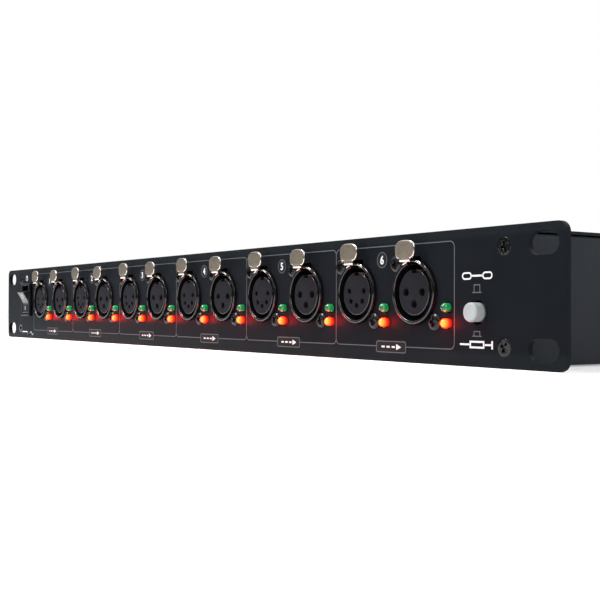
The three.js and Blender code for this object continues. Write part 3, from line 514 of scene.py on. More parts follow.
def ink_finish(name, colour):
    """Screen-printed ink, slightly uneven."""

    def build(shader):
        spots = shader.noise(0.4 * MM)
        return {
            "Base Color": shader.blend(
                spots.spread(0.35, 0.65), shade_of(colour, 0.85), shade_of(colour, 1.05)),
            "Roughness": spots.levelled(0.5, 0.65),
            "Specular IOR Level": 0.2,
        }

    return finish(name, build)


def green_lens():
    """Unlit green lamp: green plastic with a painted highlight round the rim of its dome and
    painted shade towards its base.
    """
    lamp = settings("lamp")

    def build(shader):
        x, depth, z = shader.parts(shader.place())
        off_axis = (x * x + z * z) ** 0.5 / lamp.radius
        swirl = shader.noise(0.8 * MM)
        # Painted highlight: the dome's rim up to 2.4 times as light as its middle
        edge = (off_axis + (swirl - 0.5) * 0.5).spread(0.55, 0.92)
        return {
            # Painted shade: dark green from just in front of the panel's face back to the base
            "Base Color": shader.blend(
                depth.spread(0.3 * (lamp.radius - lamp.proud), 0.0),
                shader.blend(edge, shade_of(lamp.green, 0.7), shade_of(lamp.green, 2.4)),
                shade_of(lamp.green, 0.15)),
            "Roughness": swirl.levelled(0.06, 0.14),
            "Coat Weight": 0.5,
            "Coat Roughness": 0.04,
        }

    return finish("green_lens", build)


def red_lens():
    """Lit lamp: bright ember at its heart, deep red towards its rim and base."""
    lamp = settings("lamp")
    stops = [
        (0.0, lamp.ember),
        (0.14, lamp.ember),
        (0.36, (1.0, 0.005, 0.0004)),
        (0.52, (1.0, 0.0018, 0.0002)),
        (0.72, (0.09, 0.0006, 0.0001)),
        (0.95, lamp.red),
    ]

    def build(shader):
        x, depth, z = shader.parts(shader.place())
        off_axis = (x * x + z * z) ** 0.5 / lamp.radius
        behind = depth.spread(lamp.radius - lamp.proud, 0.0)
        swirl = shader.noise(0.8 * MM)
        coolness = off_axis.spread(0.35, 1.05) * 0.45 + behind * 0.7 + (swirl - 0.5) * 0.25
        return {
            "Base Color": shader.blend(swirl, linear(200, 40, 20), linear(120, 10, 8)),
            "Roughness": swirl.levelled(0.1, 0.18),
            "Emission Color": shader.node("ShaderNodeValToRGB", {0: coolness}, stops=stops),
            "Emission Strength": lamp.heat,
        }

    return finish("red_lens", build)


def socket_shell():
    return moulded("socket_shell", settings("socket").shell_colour, 0.35, 0.1, mottle=0.12)


def socket_lip():
    """The same moulding where its edges are rubbed glossy."""
    return moulded("socket_lip", settings("socket").shell_colour, 0.12, 1.0, mottle=0.12)


def socket_insert():
    return moulded(
        "socket_insert", settings("socket").insert_colour, 0.5, 0.045,
        mottle=0.2, grain=0.4 * MM, relief=0.03 * MM)


def nickel():
    return metal("satin_nickel", settings("latch").nickel, 0.42, speckle=0.3, grain=0.5 * MM)


# A lit copy of the satin nickel: its lighter colour paints highlights on the lever
def polished_nickel():
    return metal("polished_nickel", settings("latch").polished, 0.16, speckle=0.08)


def black_steel():
    return moulded(
        "black_steel", linear(14, 15, 17), 0.18, 0.42,
        mottle=0.3, grain=0.3 * MM, relief=0.02 * MM)


def bright_contact():
    return metal("bright_contact", linear(196, 190, 176), 0.25, streak=(1.0, 0.15, 1.0))


# Outlines: lists of X and Z, or of depth and height


def arc(x, z, radius, start, end, steps):
    points = []
    for i in range(steps + 1):
        angle = start + (end - start) * i / steps
        points.append((x + radius * math.cos(angle), z + radius * math.sin(angle)))
    return points


def circle(x, z, radius, steps=48):
    return arc(x, z, radius, 0, FULL_TURN, steps)[:-1]


def rounded(x, z, width, height, radius, steps=8):
    right, left = x + width / 2 - radius, x - width / 2 + radius
    top, bottom = z + height / 2 - radius, z - height / 2 + radius
    return [
        *arc(right, top, radius, 0, QUARTER, steps),
        *arc(left, top, radius, QUARTER, 2 * QUARTER, steps),
        *arc(left, bottom, radius, 2 * QUARTER, 3 * QUARTER, steps),
        *arc(right, bottom, radius, 3 * QUARTER, 4 * QUARTER, steps),
    ]


def rectangle(x, z, width, height):
    return [
        (x + width / 2, z + height / 2),
        (x - width / 2, z + height / 2),
        (x - width / 2, z - height / 2),
        (x + width / 2, z - height / 2),
    ]


def obround(x, z, length, height, steps=16):
    half = (length - height) / 2
    return [
        *arc(x + half, z, height / 2, -QUARTER, QUARTER, steps),
        *arc(x - half, z, height / 2, QUARTER, 3 * QUARTER, steps),
    ]


def notched(x, z, radius, half, top, steps=72):
    """A round hole with a flat-topped notch over it, where a latch passes."""
    side = math.acos(half / radius)
    return [
        *arc(x, z, radius, HALF_TURN - side, FULL_TURN + side, steps),
        (x + half, z + top),
        (x - half, z + top),
    ]


def folded(corners, sheet, radius, steps=6):
    """Outline of a folded strip: corners lie on its outer side, every bend turns left."""
    points = [Vector(corner) for corner in corners]
    headings = [(b - a).normalized() for a, b in zip(points, points[1:])]
    left = [Vector((-h.y, h.x)) for h in headings]
    outer, inner = [points[0]], [points[0] + left[0] * sheet]
    for i in range(1, len(points) - 1):
        turn = math.acos(max(-1, min(1, headings[i - 1].dot(headings[i]))))
        centre = points[i] - headings[i - 1] * radius * math.tan(turn / 2) + left[i - 1] * radius
        start = math.atan2(-left[i - 1].y, -left[i - 1].x)
        outer += arc(*centre, radius, start, start + turn, steps)
        inner += arc(*centre, radius - sheet, start, start + turn, steps)
    outer.append(points[-1])
    inner.append(points[-1] + left[-1] * sheet)
    return [tuple(p) for p in outer + inner[::-1]]


def cross(x, z, reach, width):
    """A cross-shaped recess."""
    a, b = reach / 2, width / 2
    corners = [(b, a), (-b, a), (-b, b), (-a, b), (-a, -b), (-b, -b),
               (-b, -a), (b, -a), (b, -b), (a, -b), (a, b), (b, b)]
    return [(x + u, z + w) for u, w in corners]


# Shells: closed meshes still being worked on


def plate(loops, front, back, edge=0.0, edge_steps=2):
    """A flat piece across Y. The loops give X and Z; a loop inside another is a hole."""
    curve = bpy.data.curves.new("plate", "CURVE")
    curve.dimensions = "2D"
    curve.fill_mode = "BOTH"
    curve.extrude = (back - front) / 2 - edge
    curve.bevel_depth = edge
    curve.bevel_resolution = edge_steps
    curve.offset = -edge
    for loop in loops:
        spline = curve.splines.new("POLY")
        spline.points.add(len(loop) - 1)
        for point, (x, z) in zip(spline.points, loop):
            point.co = (x, z, 0, 1)
        spline.use_cyclic_u = True
    source = bpy.data.objects.new("plate", curve)
    mesh = bpy.data.meshes.new_from_object(source)
    bpy.data.objects.remove(source)
    bpy.data.curves.remove(curve)
    middle = (front + back) / 2
    mesh.transform(Matrix(((1, 0, 0, 0), (0, 0, -1, middle), (0, 1, 0, 0), (0, 0, 0, 1))))
    shell = bmesh.new()
    shell.from_mesh(mesh)
    bpy.data.meshes.remove(mesh)
    bmesh.ops.remove_doubles(shell, verts=shell.verts, dist=WELD)
    bmesh.ops.recalc_face_normals(shell, faces=shell.faces)
    return shell


def slab(loops, low, high, edge=0.0, edge_steps=2):
    """A flat piece across Z. The loops give X and Y."""
    shell = plate(loops, low, high, edge, edge_steps)
    flat = Matrix(((1, 0, 0, 0), (0, 0, 1, 0), (0, 1, 0, 0), (0, 0, 0, 1)))
    bmesh.ops.transform(shell, matrix=flat, verts=shell.verts)
    bmesh.ops.recalc_face_normals(shell, faces=shell.faces)
    return shell


def turned(profile, steps=64, start=0.0, sweep=FULL_TURN, x=0.0, z=0.0):
    """A body round the Y axis from radius and depth pairs, in full or in part."""
    shell = bmesh.new()
    whole = sweep >= FULL_TURN - 1e-6
    rings = []
    for i in range(steps if whole else steps + 1):
        angle = start + sweep * i / steps
        rings.append([
            shell.verts.new((x + r * math.cos(angle), y, z + r * math.sin(angle)))
            for r, y in profile
        ])
    count = len(profile)
    for i in range(steps):
        this, following = rings[i], rings[(i + 1) % len(rings)]
        for j in range(count):
            k = (j + 1) % count
            if profile[j][0] > 0 or profile[k][0] > 0:
                shell.faces.new((this[j], this[k], following[k], following[j]))
    if not whole:
        shell.faces.new(rings[0])
        shell.faces.new(rings[-1][::-1])
    bmesh.ops.remove_doubles(shell, verts=shell.verts, dist=WELD)
    bmesh.ops.dissolve_degenerate(shell, dist=1e-8, edges=shell.edges)
    bmesh.ops.recalc_face_normals(shell, faces=shell.faces)
    return shell


def bar(outline, low, high):
    """A bar along X whose outline gives depth and height."""
    shell = bmesh.new()
    first = [shell.verts.new((low, y, z)) for y, z in outline]
    last = [shell.verts.new((high, y, z)) for y, z in outline]
    shell.faces.new(first)
    shell.faces.new(last[::-1])
    for i in range(len(outline)):
        j = (i + 1) % len(outline)
        shell.faces.new((first[i], last[i], last[j], first[j]))
    bmesh.ops.recalc_face_normals(shell, faces=shell.faces)
    return shell


def eased(shell, width, steps=2, least=math.radians(30)):
    """The shell with its sharp edges rounded."""
    edges = [e for e in shell.edges if e.is_manifold and e.calc_face_angle(0) > least]
    bmesh.ops.bevel(
        shell, geom=edges, offset=width, segments=steps, profile=0.5,
        affect="EDGES", clamp_overlap=True)
    return shell


def around(middle, half):
    """The two values at that distance from a middle."""
    return middle - half, middle + half


def block(x, y, z, edge=0.0):
    """A block between two values each of X, Y and Z."""
    shell = bar([(y[0], z[0]), (y[1], z[0]), (y[1], z[1]), (y[0], z[1])], *x)
    return eased(shell, edge) if edge else shell


def lip(radius, front, edge, steps=4, inward=False):
    """Profile points of a rounded lip, from its face round to its side."""
    way = -1 if inward else 1
    points = []
    for i in range(steps + 1):
        angle = QUARTER * i / steps
        points.append((
            radius - way * edge * (1 - math.sin(angle)),
            front + edge * (1 - math.cos(angle)),
        ))
    return points


def assemble(name, *groups):
    """One mesh from groups, each a finish and the shells that wear it."""
    mesh = bpy.data.meshes.new(name)
    whole = bmesh.new()
    for material, *shells in groups:
        if material.name not in mesh.materials:
            mesh.materials.append(material)
        index = mesh.materials.find(material.name)
        for shell in shells:
            for face in shell.faces:
                face.material_index = index
            part = bpy.data.meshes.new("part")
            shell.to_mesh(part)
            shell.free()
            whole.from_mesh(part)
            bpy.data.meshes.remove(part)
    whole.to_mesh(mesh)
    whole.free()
    mesh.shade_smooth()
    mesh.set_sharp_from_angle(angle=CREASE)
    return mesh


def add_piece(name, mesh, replaces=(), place=None, body="case"):
    """Puts a piece in its place on its body, with even shading over its flat faces."""
    piece = bpy.data.objects.new(name, mesh)
    bpy.context.scene.collection.objects.link(piece)
    piece.matrix_world = place or Matrix.Identity(4)
    even = piece.modifiers.new("even_normals", "WEIGHTED_NORMAL")
    even.keep_sharp = True
    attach(piece, body)
    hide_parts(*replaces)
    return piece


# Shared layout

CORNERS = [(-1, -1), (-1, 1), (1, -1), (1, 1)]
REAR_PLACES = {
    "input_plug_3pin": 180 * MM,
    "input_plug_5pin": 147 * MM,
    "link_socket_3pin": 104 * MM,
    "link_socket_5pin": 71 * MM,
}
REAR_HEIGHT = 22 * MM
INLET_X = -182 * MM
SOCKET_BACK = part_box("output_socket_3pin_1")[1].y - PANEL_FACE
CONTACTS = {
    3: {"circle": 4.1 * MM, "hole": 1.4 * MM, "pin": 1.2 * MM, "angles": (0, 180, 270)},
    5: {"circle": 4.4 * MM, "hole": 1.0 * MM, "pin": 0.9 * MM, "angles": (11, 169, 220, 270, 320)},
}
# Gaps round a housing in its hole, a nose in its sheet, a lamp, and a sunk head
HOLE_GAP = 0.3 * MM
NOSE_GAP = 0.1 * MM
LAMP_GAP = 0.25 * MM
HEAD_GAP = 0.05 * MM
# Radii of the screws' heads and of the holes for the sockets' screws, and a sunk head's depth
PLATE_HEAD = 2.85 * MM
LID_HEAD = 2.65 * MM
RAISED_HEAD = 3 * MM
SHANK_HOLE = 1.6 * MM
HEAD_DEPTH = 1.3 * MM
# Width and height of the mains switch behind its bezel, and of the hole for it
SWITCH_BODY = (13 * MM, 19 * MM)
SWITCH_HOLE = (13.6 * MM, 19.6 * MM)
INLET_BODY = (27.4 * MM, 31.4 * MM)
# How far a print reaches into the sheet
PRINT_ROOT = 0.02 * MM
# The least angle at which an edge of a bent strip is rounded, so that its bend isn't
STEEP = math.radians(50)


def on_front(x, z):
    return Matrix.Translation((x, PANEL_FACE, z))


def on_rear(x, z):
    return Matrix.Translation((x, REAR_FACE, z)) @ Matrix.Rotation(HALF_TURN, 4, "Z")


def rear_place(node):
    return on_rear(REAR_PLACES[node], REAR_HEIGHT)


def output_places():
    """Number, pins and X of every output socket."""
    outputs = settings("outputs")
    for i in range(outputs.count):
        edge = outputs.first_edge + outputs.pitch * i
        yield i + 1, 5, edge + outputs.five_pin
        yield i + 1, 3, edge + outputs.three_pin


def contact_places(pins):
    reach = CONTACTS[pins]["circle"]
    for degrees in CONTACTS[pins]["angles"]:
        angle = math.radians(degrees)
        yield reach * math.cos(angle), reach * math.sin(angle)


def socket_screws():
    """Offsets of a socket's two screws from its axis."""
    offset = settings("socket").screw_offset
    return (-offset, offset), (offset, -offset)


def panel_screws():
    """X and Z of the four screws through the front plate."""
    return [(x * 216.7 * MM, 22 * MM + z * 15.6 * MM) for x, z in CORNERS]


def lid_screws():
    """X and Y of the screws along the lid's sides and rear edge."""
    side = 214 * MM
    near, far = PANEL_FACE + 26 * MM, REAR_FACE - 6 * MM
    middle = (near + far) / 2
    places = [(sign * side, y) for y in (near, middle, far) for sign in (-1, 1)]
    return places + [(sign * side / 3, far) for sign in (-1, 1)]


def connector_opening(x, z, with_latch, margin):
    """Hole round a connector's nose, with a notch over it if it has a latch."""
    socket, latch = settings("socket"), settings("latch")
    radius = socket.nose_radius + margin
    if not with_latch:
        return circle(x, z, radius, steps=96)
    half = latch.arm_width / 2 + HOLE_GAP
    return notched(x, z, radius, half, latch.arm_height + latch.sheet + 1.4 * MM)


# Operators


class SPLITTER_OT_studio(bpy.types.Operator):
    """Floor, surroundings, lamps and camera"""

    bl_idname = "splitter.studio"
    bl_label = "Studio"

    aim = Vector((0, 0, 0.02))
    # Name, place, diameter, and the setting that holds the power
    lamps = (
        ("key_lamp", (-0.35, -0.95, 0.95), 0.45, "key_power"),
        ("fill_lamp", (0.95, -0.25, 0.55), 0.5, "fill_power"),
        ("rear_lamp", (0.3, 1.0, 0.9), 0.7, "fill_power"),
        ("top_lamp", (-0.3, -0.32, 0.9), 0.3, "top_power"),
    )

    def execute(self, context):
        studio = settings("studio")
        self.surroundings(context.scene, studio)
        self.floor(studio)
        for name, place, size, power in self.lamps:
            self.lamp(name, place, size, getattr(studio, power))
        self.camera(context.scene, studio)
        view = context.scene.view_settings
        view.view_transform = "Standard"
        return {"FINISHED"}

    def surroundings(self, scene, studio):
        world = scene.world or bpy.data.worlds.new("surroundings")
        scene.world = world
        world.use_nodes = True
        world.node_tree.nodes.clear()
        shader = Shader(world.node_tree)
        soft = shader.node("ShaderNodeBackground", {"Color": WHITE, "Strength": studio.ambient})
        mirrored = shader.blend(self.room_in_front(shader), WHITE, tuple(studio.room))
        white = shader.node("ShaderNodeBackground", {"Color": mirrored, "Strength": 1.0})
        mixed = shader.node("ShaderNodeMixShader", {0: self.seen(shader), 1: soft, 2: white})
        shader.node("ShaderNodeOutputWorld", {"Surface": mixed})

    @staticmethod
    def room_in_front(shader):
        """1 where a reflection meets the dim room low in front of the panel."""
        [glossy] = shader.rays("Is Glossy Ray")
        _, y, z = shader.parts(shader.node("ShaderNodeTexCoord"))
        in_front, low = y.spread(-0.05, -0.2), z.spread(0.42, 0.24)
        return glossy * in_front * low

    @staticmethod
    def seen(shader):
        """1 for rays from the camera, a reflection or a transmission."""
        camera, glossy, through = shader.rays(
            "Is Camera Ray", "Is Glossy Ray", "Is Transmission Ray")
        return (camera + glossy + through).spread(0.0, 1.0)

    def floor(self, studio):
        reach = 6.0
        near, far = (0.34, 0.34, 0.34), (0.6, 0.6, 0.6)
        shell = bmesh.new()
        shell.faces.new([
            shell.verts.new((x, y, 0)) for x, y in rectangle(0, 0, 2 * reach, 2 * reach)])

        def build(shader):
            x, y, _ = shader.parts(shader.place())
            away = ((x * x + y * y) ** 0.5).spread(0.4, 1.4)
            glow = shader.blend(away, near, far)
            return {
                "Base Color": tuple(studio.floor),
                "Roughness": 1.0,
                "Specular IOR Level": 0.0,
                "Emission Color": shader.blend(self.seen(shader), (0.0, 0.0, 0.0), glow),
                "Emission Strength": 1.0,
            }

        mesh = assemble("floor", (finish("floor_card", build), shell))
        floor = bpy.data.objects.new("floor", mesh)
        bpy.context.scene.collection.objects.link(floor)

    def lamp(self, name, place, size, power):
        """A round lamp that points at the unit."""
        light = bpy.data.lights.new(name, "AREA")
        light.shape = "DISK"
        light.size = size
        light.energy = power
        lamp = bpy.data.objects.new(name, light)
        bpy.context.scene.collection.objects.link(lamp)
        lamp.location = place
        heading = self.aim - Vector(place)
        lamp.rotation_euler = heading.to_track_quat("-Z", "Y").to_euler()

    def camera(self, scene, studio):
        data = bpy.data.cameras.new("camera")
        data.lens = studio.lens
        data.sensor_width = 36
        data.clip_start = 0.01
        camera = bpy.data.objects.new("camera", data)
        scene.collection.objects.link(camera)
        camera.matrix_world = (
            Matrix.Translation(studio.camera_place)
            @ Matrix.Rotation(studio.camera_turn, 4, "Z")
            @ Matrix.Rotation(QUARTER + studio.camera_lift, 4, "X")
            @ Matrix.Rotation(studio.camera_roll, 4, "Z"))
        scene.camera = camera


class SPLITTER_OT_front_plate(bpy.types.Operator):
    """Front plate with its slots and openings"""

    bl_idname = "splitter.front_plate"
    bl_label = "Front plate"

    def execute(self, context):
        look, outputs, lamp = settings("plate"), settings("outputs"), settings("lamp")
        button, switch = settings("button"), settings("switch")
        width, height = PLATE_HIGH.x - PLATE_LOW.x, PLATE_HIGH.z - PLATE_LOW.z
        loops = [rounded(0, height / 2, width, height, look.corner_radius, steps=10)]
        span_x, span_z = look.slot_span
        for x, z in CORNERS:
            loops.append(obround(
                x * span_x / 2, (height + z * span_z) / 2, look.slot_length, look.slot_height))
        for _, _, x in output_places():
            loops.append(connector_opening(x, outputs.height, True, NOSE_GAP))
            for drop in (lamp.upper_drop, lamp.upper_drop + lamp.pitch):
                loops.append(circle(
                    x + lamp.offset, outputs.height - drop, lamp.radius + LAMP_GAP, steps=24))
            for dx, dz in socket_screws():
                loops.append(circle(x + dx, outputs.height + dz, SHANK_HOLE, steps=24))
        loops.append(circle(*button.place, button.hole_radius, steps=48))
        loops.append(rectangle(*switch.place, *SWITCH_HOLE))
        loops += [circle(x, z, PLATE_HEAD + 2 * HEAD_GAP, steps=40) for x, z in panel_screws()]
        shell = plate(loops, 0, PLATE_THICKNESS, edge=look.edge)
        mesh = assemble("front_plate", (plate_paint(), shell))
        add_piece("front_plate", mesh, ["front_panel"], on_front(0, 0))
        return {"FINISHED"}


class SPLITTER_OT_tray(bpy.types.Operator):
    """Folded tray with its rear wall and flanges"""

    bl_idname = "splitter.tray"
    bl_label = "Tray"

    def execute(self, context):
        case, edge = settings("case"), settings("plate").edge
        half, sheet, flange = TRAY_HIGH.x, case.sheet, case.flange
        floor, top = TRAY_LOW.z, TRAY_HIGH.z
        front, back = TRAY_LOW.y, TRAY_HIGH.y
        strip = folded(
            [(-half + flange, top), (-half, top), (-half, floor), (half, floor),
             (half, top), (half - flange, top)],
            sheet, radius=case.bend_radius)
        wall = [rounded(0, (floor + top) / 2, 2 * half, top - floor, case.bend_radius, steps=6)]
        shells = [
            plate([strip], front, back, edge),
            plate(wall + self.rear_openings(), back - sheet, back, edge),
            block((-half + sheet, half - sheet), (back - flange, back - sheet / 2),
                  (top - sheet, top)),
        ]
        tab_reach, tab_half = 7.4 * MM, 4.5 * MM
        for x, z in panel_screws():
            outer = math.copysign(half - sheet / 2, x)
            ends = sorted((outer, outer - math.copysign(tab_reach, x)))
            low, high = around(z, tab_half)
            heights = max(low, floor + sheet / 2), min(high, top - sheet / 2)
            shells.append(block(ends, (front, front + sheet), heights))
        board_low, board_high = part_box("main_board")
        inset, boss_radius = 6 * MM, 3 * MM
        for x in (board_low.x + inset, board_high.x - inset):
            for y in (board_low.y + inset, board_high.y - inset):
                shells.append(slab(
                    [circle(x, y, boss_radius, steps=24)], floor + sheet / 2,
                    board_low.z - HOLE_GAP, edge))
        mesh = assemble("tray_shell", (case_coat("case_coat"), *shells))
        add_piece("tray_shell", mesh, ["chassis_tray"])
        return {"FINISHED"}

    @staticmethod
    def rear_openings():
        """Holes in the rear wall for the connectors, their screws and the mains inlet."""
        loops = []
        for name, x in REAR_PLACES.items():
            loops.append(connector_opening(x, REAR_HEIGHT, "link" in name, NOSE_GAP))
            for dx, dz in socket_screws():
                loops.append(circle(x - dx, REAR_HEIGHT + dz, SHANK_HOLE, steps=24))
        width, height = settings("inlet").flange
        cover = 3 * MM
        loops.append(rectangle(INLET_X, REAR_HEIGHT, width - cover, height - cover))
        return loops


class SPLITTER_OT_lid(bpy.types.Operator):
    """Flat lid"""

    bl_idname = "splitter.lid"
    bl_label = "Lid"

    def execute(self, context):
        width, depth = LID_HIGH.x - LID_LOW.x, LID_HIGH.y - LID_LOW.y
        loops = [rounded(0, (LID_HIGH.y + LID_LOW.y) / 2, width, depth, 1.2 * MM, steps=6)]
        loops += [circle(x, y, LID_HEAD + HEAD_GAP, steps=40) for x, y in lid_screws()]
        shell = slab(loops, LID_LOW.z, LID_HIGH.z, edge=settings("plate").edge)
        # Painted shade: the lid wears the case's paint at half its brightness
        mesh = assemble("lid_plate", (case_coat("lid_coat", 0.5), shell))
        add_piece("lid_plate", mesh, ["top_cover"])
        return {"FINISHED"}


def sunk_screw(name, radius, length):
    """Countersunk screw with a cross recess; its head's face lies at depth 0."""
    recess, shank, point = 0.9 * MM, 1.5 * MM, 0.9 * MM
    bottom, taper = 0.8 * MM, 0.6 * MM
    head = plate(
        [circle(0, 0, radius, steps=40), cross(0, 0, reach=3.4 * MM, width=0.95 * MM)],
        0, recess, edge=0.14 * MM)
    core = turned(
        [(0, bottom), (radius - 0.3 * MM, bottom), (shank, HEAD_DEPTH + 0.4 * MM),
         (shank, length - taper), (point, length), (0, length)], steps=32)
    return assemble(name, (black_steel(), head, core))


def raised_screw(name):
    """Round-headed screw with a cross recess; its head rests on the sheet at depth 0."""
    top, rim, sunk = 0.85 * MM, 2.1 * MM, 0.05 * MM
    shank, length = 1.4 * MM, 5 * MM
    dome = turned(
        [(rim, sunk), (rim, -top), (rim + 0.45 * MM, -top + 0.14 * MM),
         (RAISED_HEAD - 0.15 * MM, -0.34 * MM), (RAISED_HEAD, -0.1 * MM), (RAISED_HEAD, sunk)],
        steps=40)
    crown = plate(
        [circle(0, 0, rim, steps=40), cross(0, 0, reach=3.3 * MM, width=1.0 * MM)],
        -top, sunk, edge=0.1 * MM)
    core = turned(
        [(0, 0), (rim, 0), (shank, 0.1 * MM), (shank, length - 0.8 * MM), (0, length)], steps=24)
    return assemble(name, (black_steel(), dome, crown, core))


class SPLITTER_OT_screws(bpy.types.Operator):
    """Screws of the plate, the sockets and the lid"""

    bl_idname = "splitter.screws"
    bl_label = "Screws"

    # How far round the screws were left when they were driven home
    turns = (0.2, 0.9, 0.5, 1.3, 0.0, 0.7)

    def execute(self, context):
        long_screw = sunk_screw("long_screw", PLATE_HEAD, 8 * MM)
        short_screw = sunk_screw("short_screw", LID_HEAD, 5 * MM)
        round_screw = raised_screw("round_screw")
        for i, (x, z) in enumerate(panel_screws()):
            node = f"panel_screw_{i + 1}"
            self.add(f"plate_screw_{i + 1}", long_screw, on_front(x, z), i, [node])
        height = settings("outputs").height
        for number, pins, x in output_places():
            for i, (dx, dz) in enumerate(socket_screws()):
                self.add(
                    f"socket_screw_{pins}pin_{number}_{i + 1}", round_screw,
                    on_front(x + dx, height + dz), number + pins + i)
        for name, x in REAR_PLACES.items():
            for i, (dx, dz) in enumerate(socket_screws()):
                self.add(
                    f"rear_screw_{name}_{i + 1}", round_screw,
                    on_rear(x - dx, REAR_HEIGHT + dz), i + 2)
        for i, (x, y) in enumerate(lid_screws()):
            place = Matrix.Translation((x, y, LID_HIGH.z)) @ Matrix.Rotation(-QUARTER, 4, "X")
            add_piece(f"lid_screw_{i + 1}", short_screw, (), place)
        return {"FINISHED"}

    def add(self, name, mesh, place, turn, replaces=()):
        """A screw in its place, with its cross turned as it was driven home."""
        turned_home = Matrix.Rotation(self.turns[turn % len(self.turns)], 4, "Y")
        add_piece(name, mesh, replaces, place @ turned_home)


def housing_shells(wall, floor, back, with_latch):
    """Flange and square body behind the sheet, with the bore through them."""
    socket = settings("socket")
    seat = wall + HOLE_GAP
    step = seat + 3 * MM
    opening = connector_opening(0, 0, with_latch, 0)
    flange = rounded(0, 0, *socket.flange, 2.5 * MM, steps=6)
    square = rounded(0, 0, socket.body_width, socket.body_width, 0.6 * MM, steps=3)
    return [
        plate([flange, opening], seat, step, edge=0.2 * MM),
        plate([square, opening], step, floor),
        plate([square], floor, back, edge=0.3 * MM),
    ]


def housing_mesh(name, wall, back, *insert):
    """Socket housing in the frame of its own axis, with the groups of a moulded-in insert."""
    socket, latch = settings("socket"), settings("latch")
    front = -socket.nose_proud
    floor = front + socket.bore_depth
    outer, inner, slim = socket.nose_radius, socket.bore_radius, 0.04 * MM
    outer_edge, inner_edge = 0.55 * MM, 0.2 * MM
    behind_lips = front + 0.12 * MM
    notch = math.asin((latch.arm_width / 2 + HOLE_GAP) / outer)
    beside_notch = {"steps": 108, "start": QUARTER + notch, "sweep": FULL_TURN - 2 * notch}
    ring = turned(
        [(inner + slim, behind_lips), (outer - slim, behind_lips), (outer - slim, floor),
         (inner + slim, floor)], **beside_notch)
    inner_lip = turned(
        [*lip(inner, front, inner_edge, steps=3, inward=True),
         (inner + inner_edge, front + inner_edge)], **beside_notch)
    outer_lip = turned(
        [*lip(outer, front, outer_edge, steps=6), (outer - outer_edge, front + outer_edge)],
        **beside_notch)
    behind = housing_shells(wall, floor, back, True)
    return assemble(
        name, (socket_shell(), ring, *behind), (socket_lip(), inner_lip, outer_lip), *insert)


def insert_groups(pins, back):
    """Contact insert that stands in the bore, with a sleeve in each contact hole."""
    socket, hole = settings("socket"), CONTACTS[pins]["hole"]
    radius, face = socket.insert_radius, socket.insert_recess - socket.nose_proud
    key_half, key_depth = 1.3 * MM, 1.3 * MM
    outline = notched(0, 0, radius, key_half, radius - key_depth, steps=84)
    holes = [circle(x, z, hole, steps=24) for x, z in contact_places(pins)]
    body = plate([outline, *holes], face, back, edge=0.25 * MM, edge_steps=3)
    key, within = math.acos(key_half / radius), radius - 0.3 * MM
    rim = turned(
        [(within, face + 0.01 * MM), *lip(radius + 0.01 * MM, face, 0.22 * MM, steps=3),
         (within, face + 0.3 * MM)],
        steps=96, start=HALF_TURN - key, sweep=HALF_TURN + 2 * key)
    near, far = face + 2.2 * MM, face + 9 * MM
    tight, wide = hole - 0.3 * MM, hole + 0.02 * MM
    sleeves = [
        turned([(tight, near), (wide, near), (wide, far), (tight, far)], steps=20, x=x, z=z)
        for x, z in contact_places(pins)]
    return [(socket_insert(), body), (socket_lip(), rim), (bright_contact(), *sleeves)]


class SPLITTER_OT_sockets(bpy.types.Operator):
    """Output sockets on the front and link sockets on the rear"""

    bl_idname = "splitter.sockets"
    bl_label = "Sockets"

    def execute(self, context):
        socket, height = settings("socket"), settings("outputs").height
        housing = housing_mesh("socket_housing", PLATE_THICKNESS, SOCKET_BACK)
        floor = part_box("contact_insert_3pin_1")[1].y - PANEL_FACE
        inserts = {
            pins: assemble(f"insert_{pins}pin", *insert_groups(pins, floor)) for pins in (3, 5)}
        for number, pins, x in output_places():
            label, place = f"{pins}pin_{number}", on_front(x, height)
            add_piece(
                f"socket_{label}", housing, [f"output_socket_{label}"], place)
            add_piece(
                f"insert_{label}", inserts[pins],
                [f"contact_insert_{label}"], place)
        sheet, floor = settings("case").sheet, socket.bore_depth - socket.nose_proud
        depth = REAR_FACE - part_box("link_socket_3pin")[0].y
        for pins in (3, 5):
            node = f"link_socket_{pins}pin"
            mesh = housing_mesh(f"rear_{node}", sheet, depth, *insert_groups(pins, floor))
            add_piece(f"rear_{node}", mesh, [node], rear_place(node))
        return {"FINISHED"}


def squarish(x, z, width, height, steps=72, power=0.72):
    """Outline between an ellipse and a rectangle."""
    points = []
    for i in range(steps):
        angle = FULL_TURN * i / steps
        across, up = math.cos(angle), math.sin(angle)
        points.append((
            x + width / 2 * math.copysign(abs(across) ** power, across),
            z + height / 2 * math.copysign(abs(up) ** power, up)))
    return points


def tab_shells(front, middle):
    """Thumb tab's plate in the lighter nickel, which paints a highlight on its rim, and its dull
    parts: face, neck and three ribs.
    """
    latch = settings("latch")
    width, height = latch.tab_size
    inset, edge = 0.55 * MM, 0.1 * MM
    plain_tab = plate(
        [squarish(0, middle, width, height)], front + edge, front + latch.sheet,
        edge=0.22 * MM, edge_steps=3)
    face = plate(
        [squarish(0, middle, width - inset, height - inset)],
        front + 0.02 * MM, front + 0.4 * MM, edge)
    neck_top, neck_low = middle - 2 * MM, latch.arm_height + 0.85 * MM
    neck = plate(
        [rectangle(0, (neck_top + neck_low) / 2, latch.arm_width - 0.9 * MM,
                   neck_top - neck_low)],
        front + 0.04 * MM, front + 0.5 * MM, edge=0.08 * MM)
    ribs = [
        plate([rounded(x * MM, middle, 0.5 * MM, 3.4 * MM, 0.24 * MM, steps=4)],
              front, front + 0.3 * MM, edge)
        for x in (-1.7, 0, 1.7)]
    return plain_tab, [face, neck, *ribs]


def brow_shell():
    """Narrow strip of light nickel over the ring's face on both sides of the arm: a painted
    highlight of the ring's lip.
    """
    outer, wide, reach = 10.95 * MM, 0.65 * MM, math.radians(26.5)
    low, high = around(QUARTER, reach)
    outline = arc(0, 0, outer, low, high, steps=24) + arc(0, 0, outer - wide, high, low, steps=24)
    return plate([outline], -1.8 * MM, -1.36 * MM, edge=0.14 * MM, edge_steps=3)


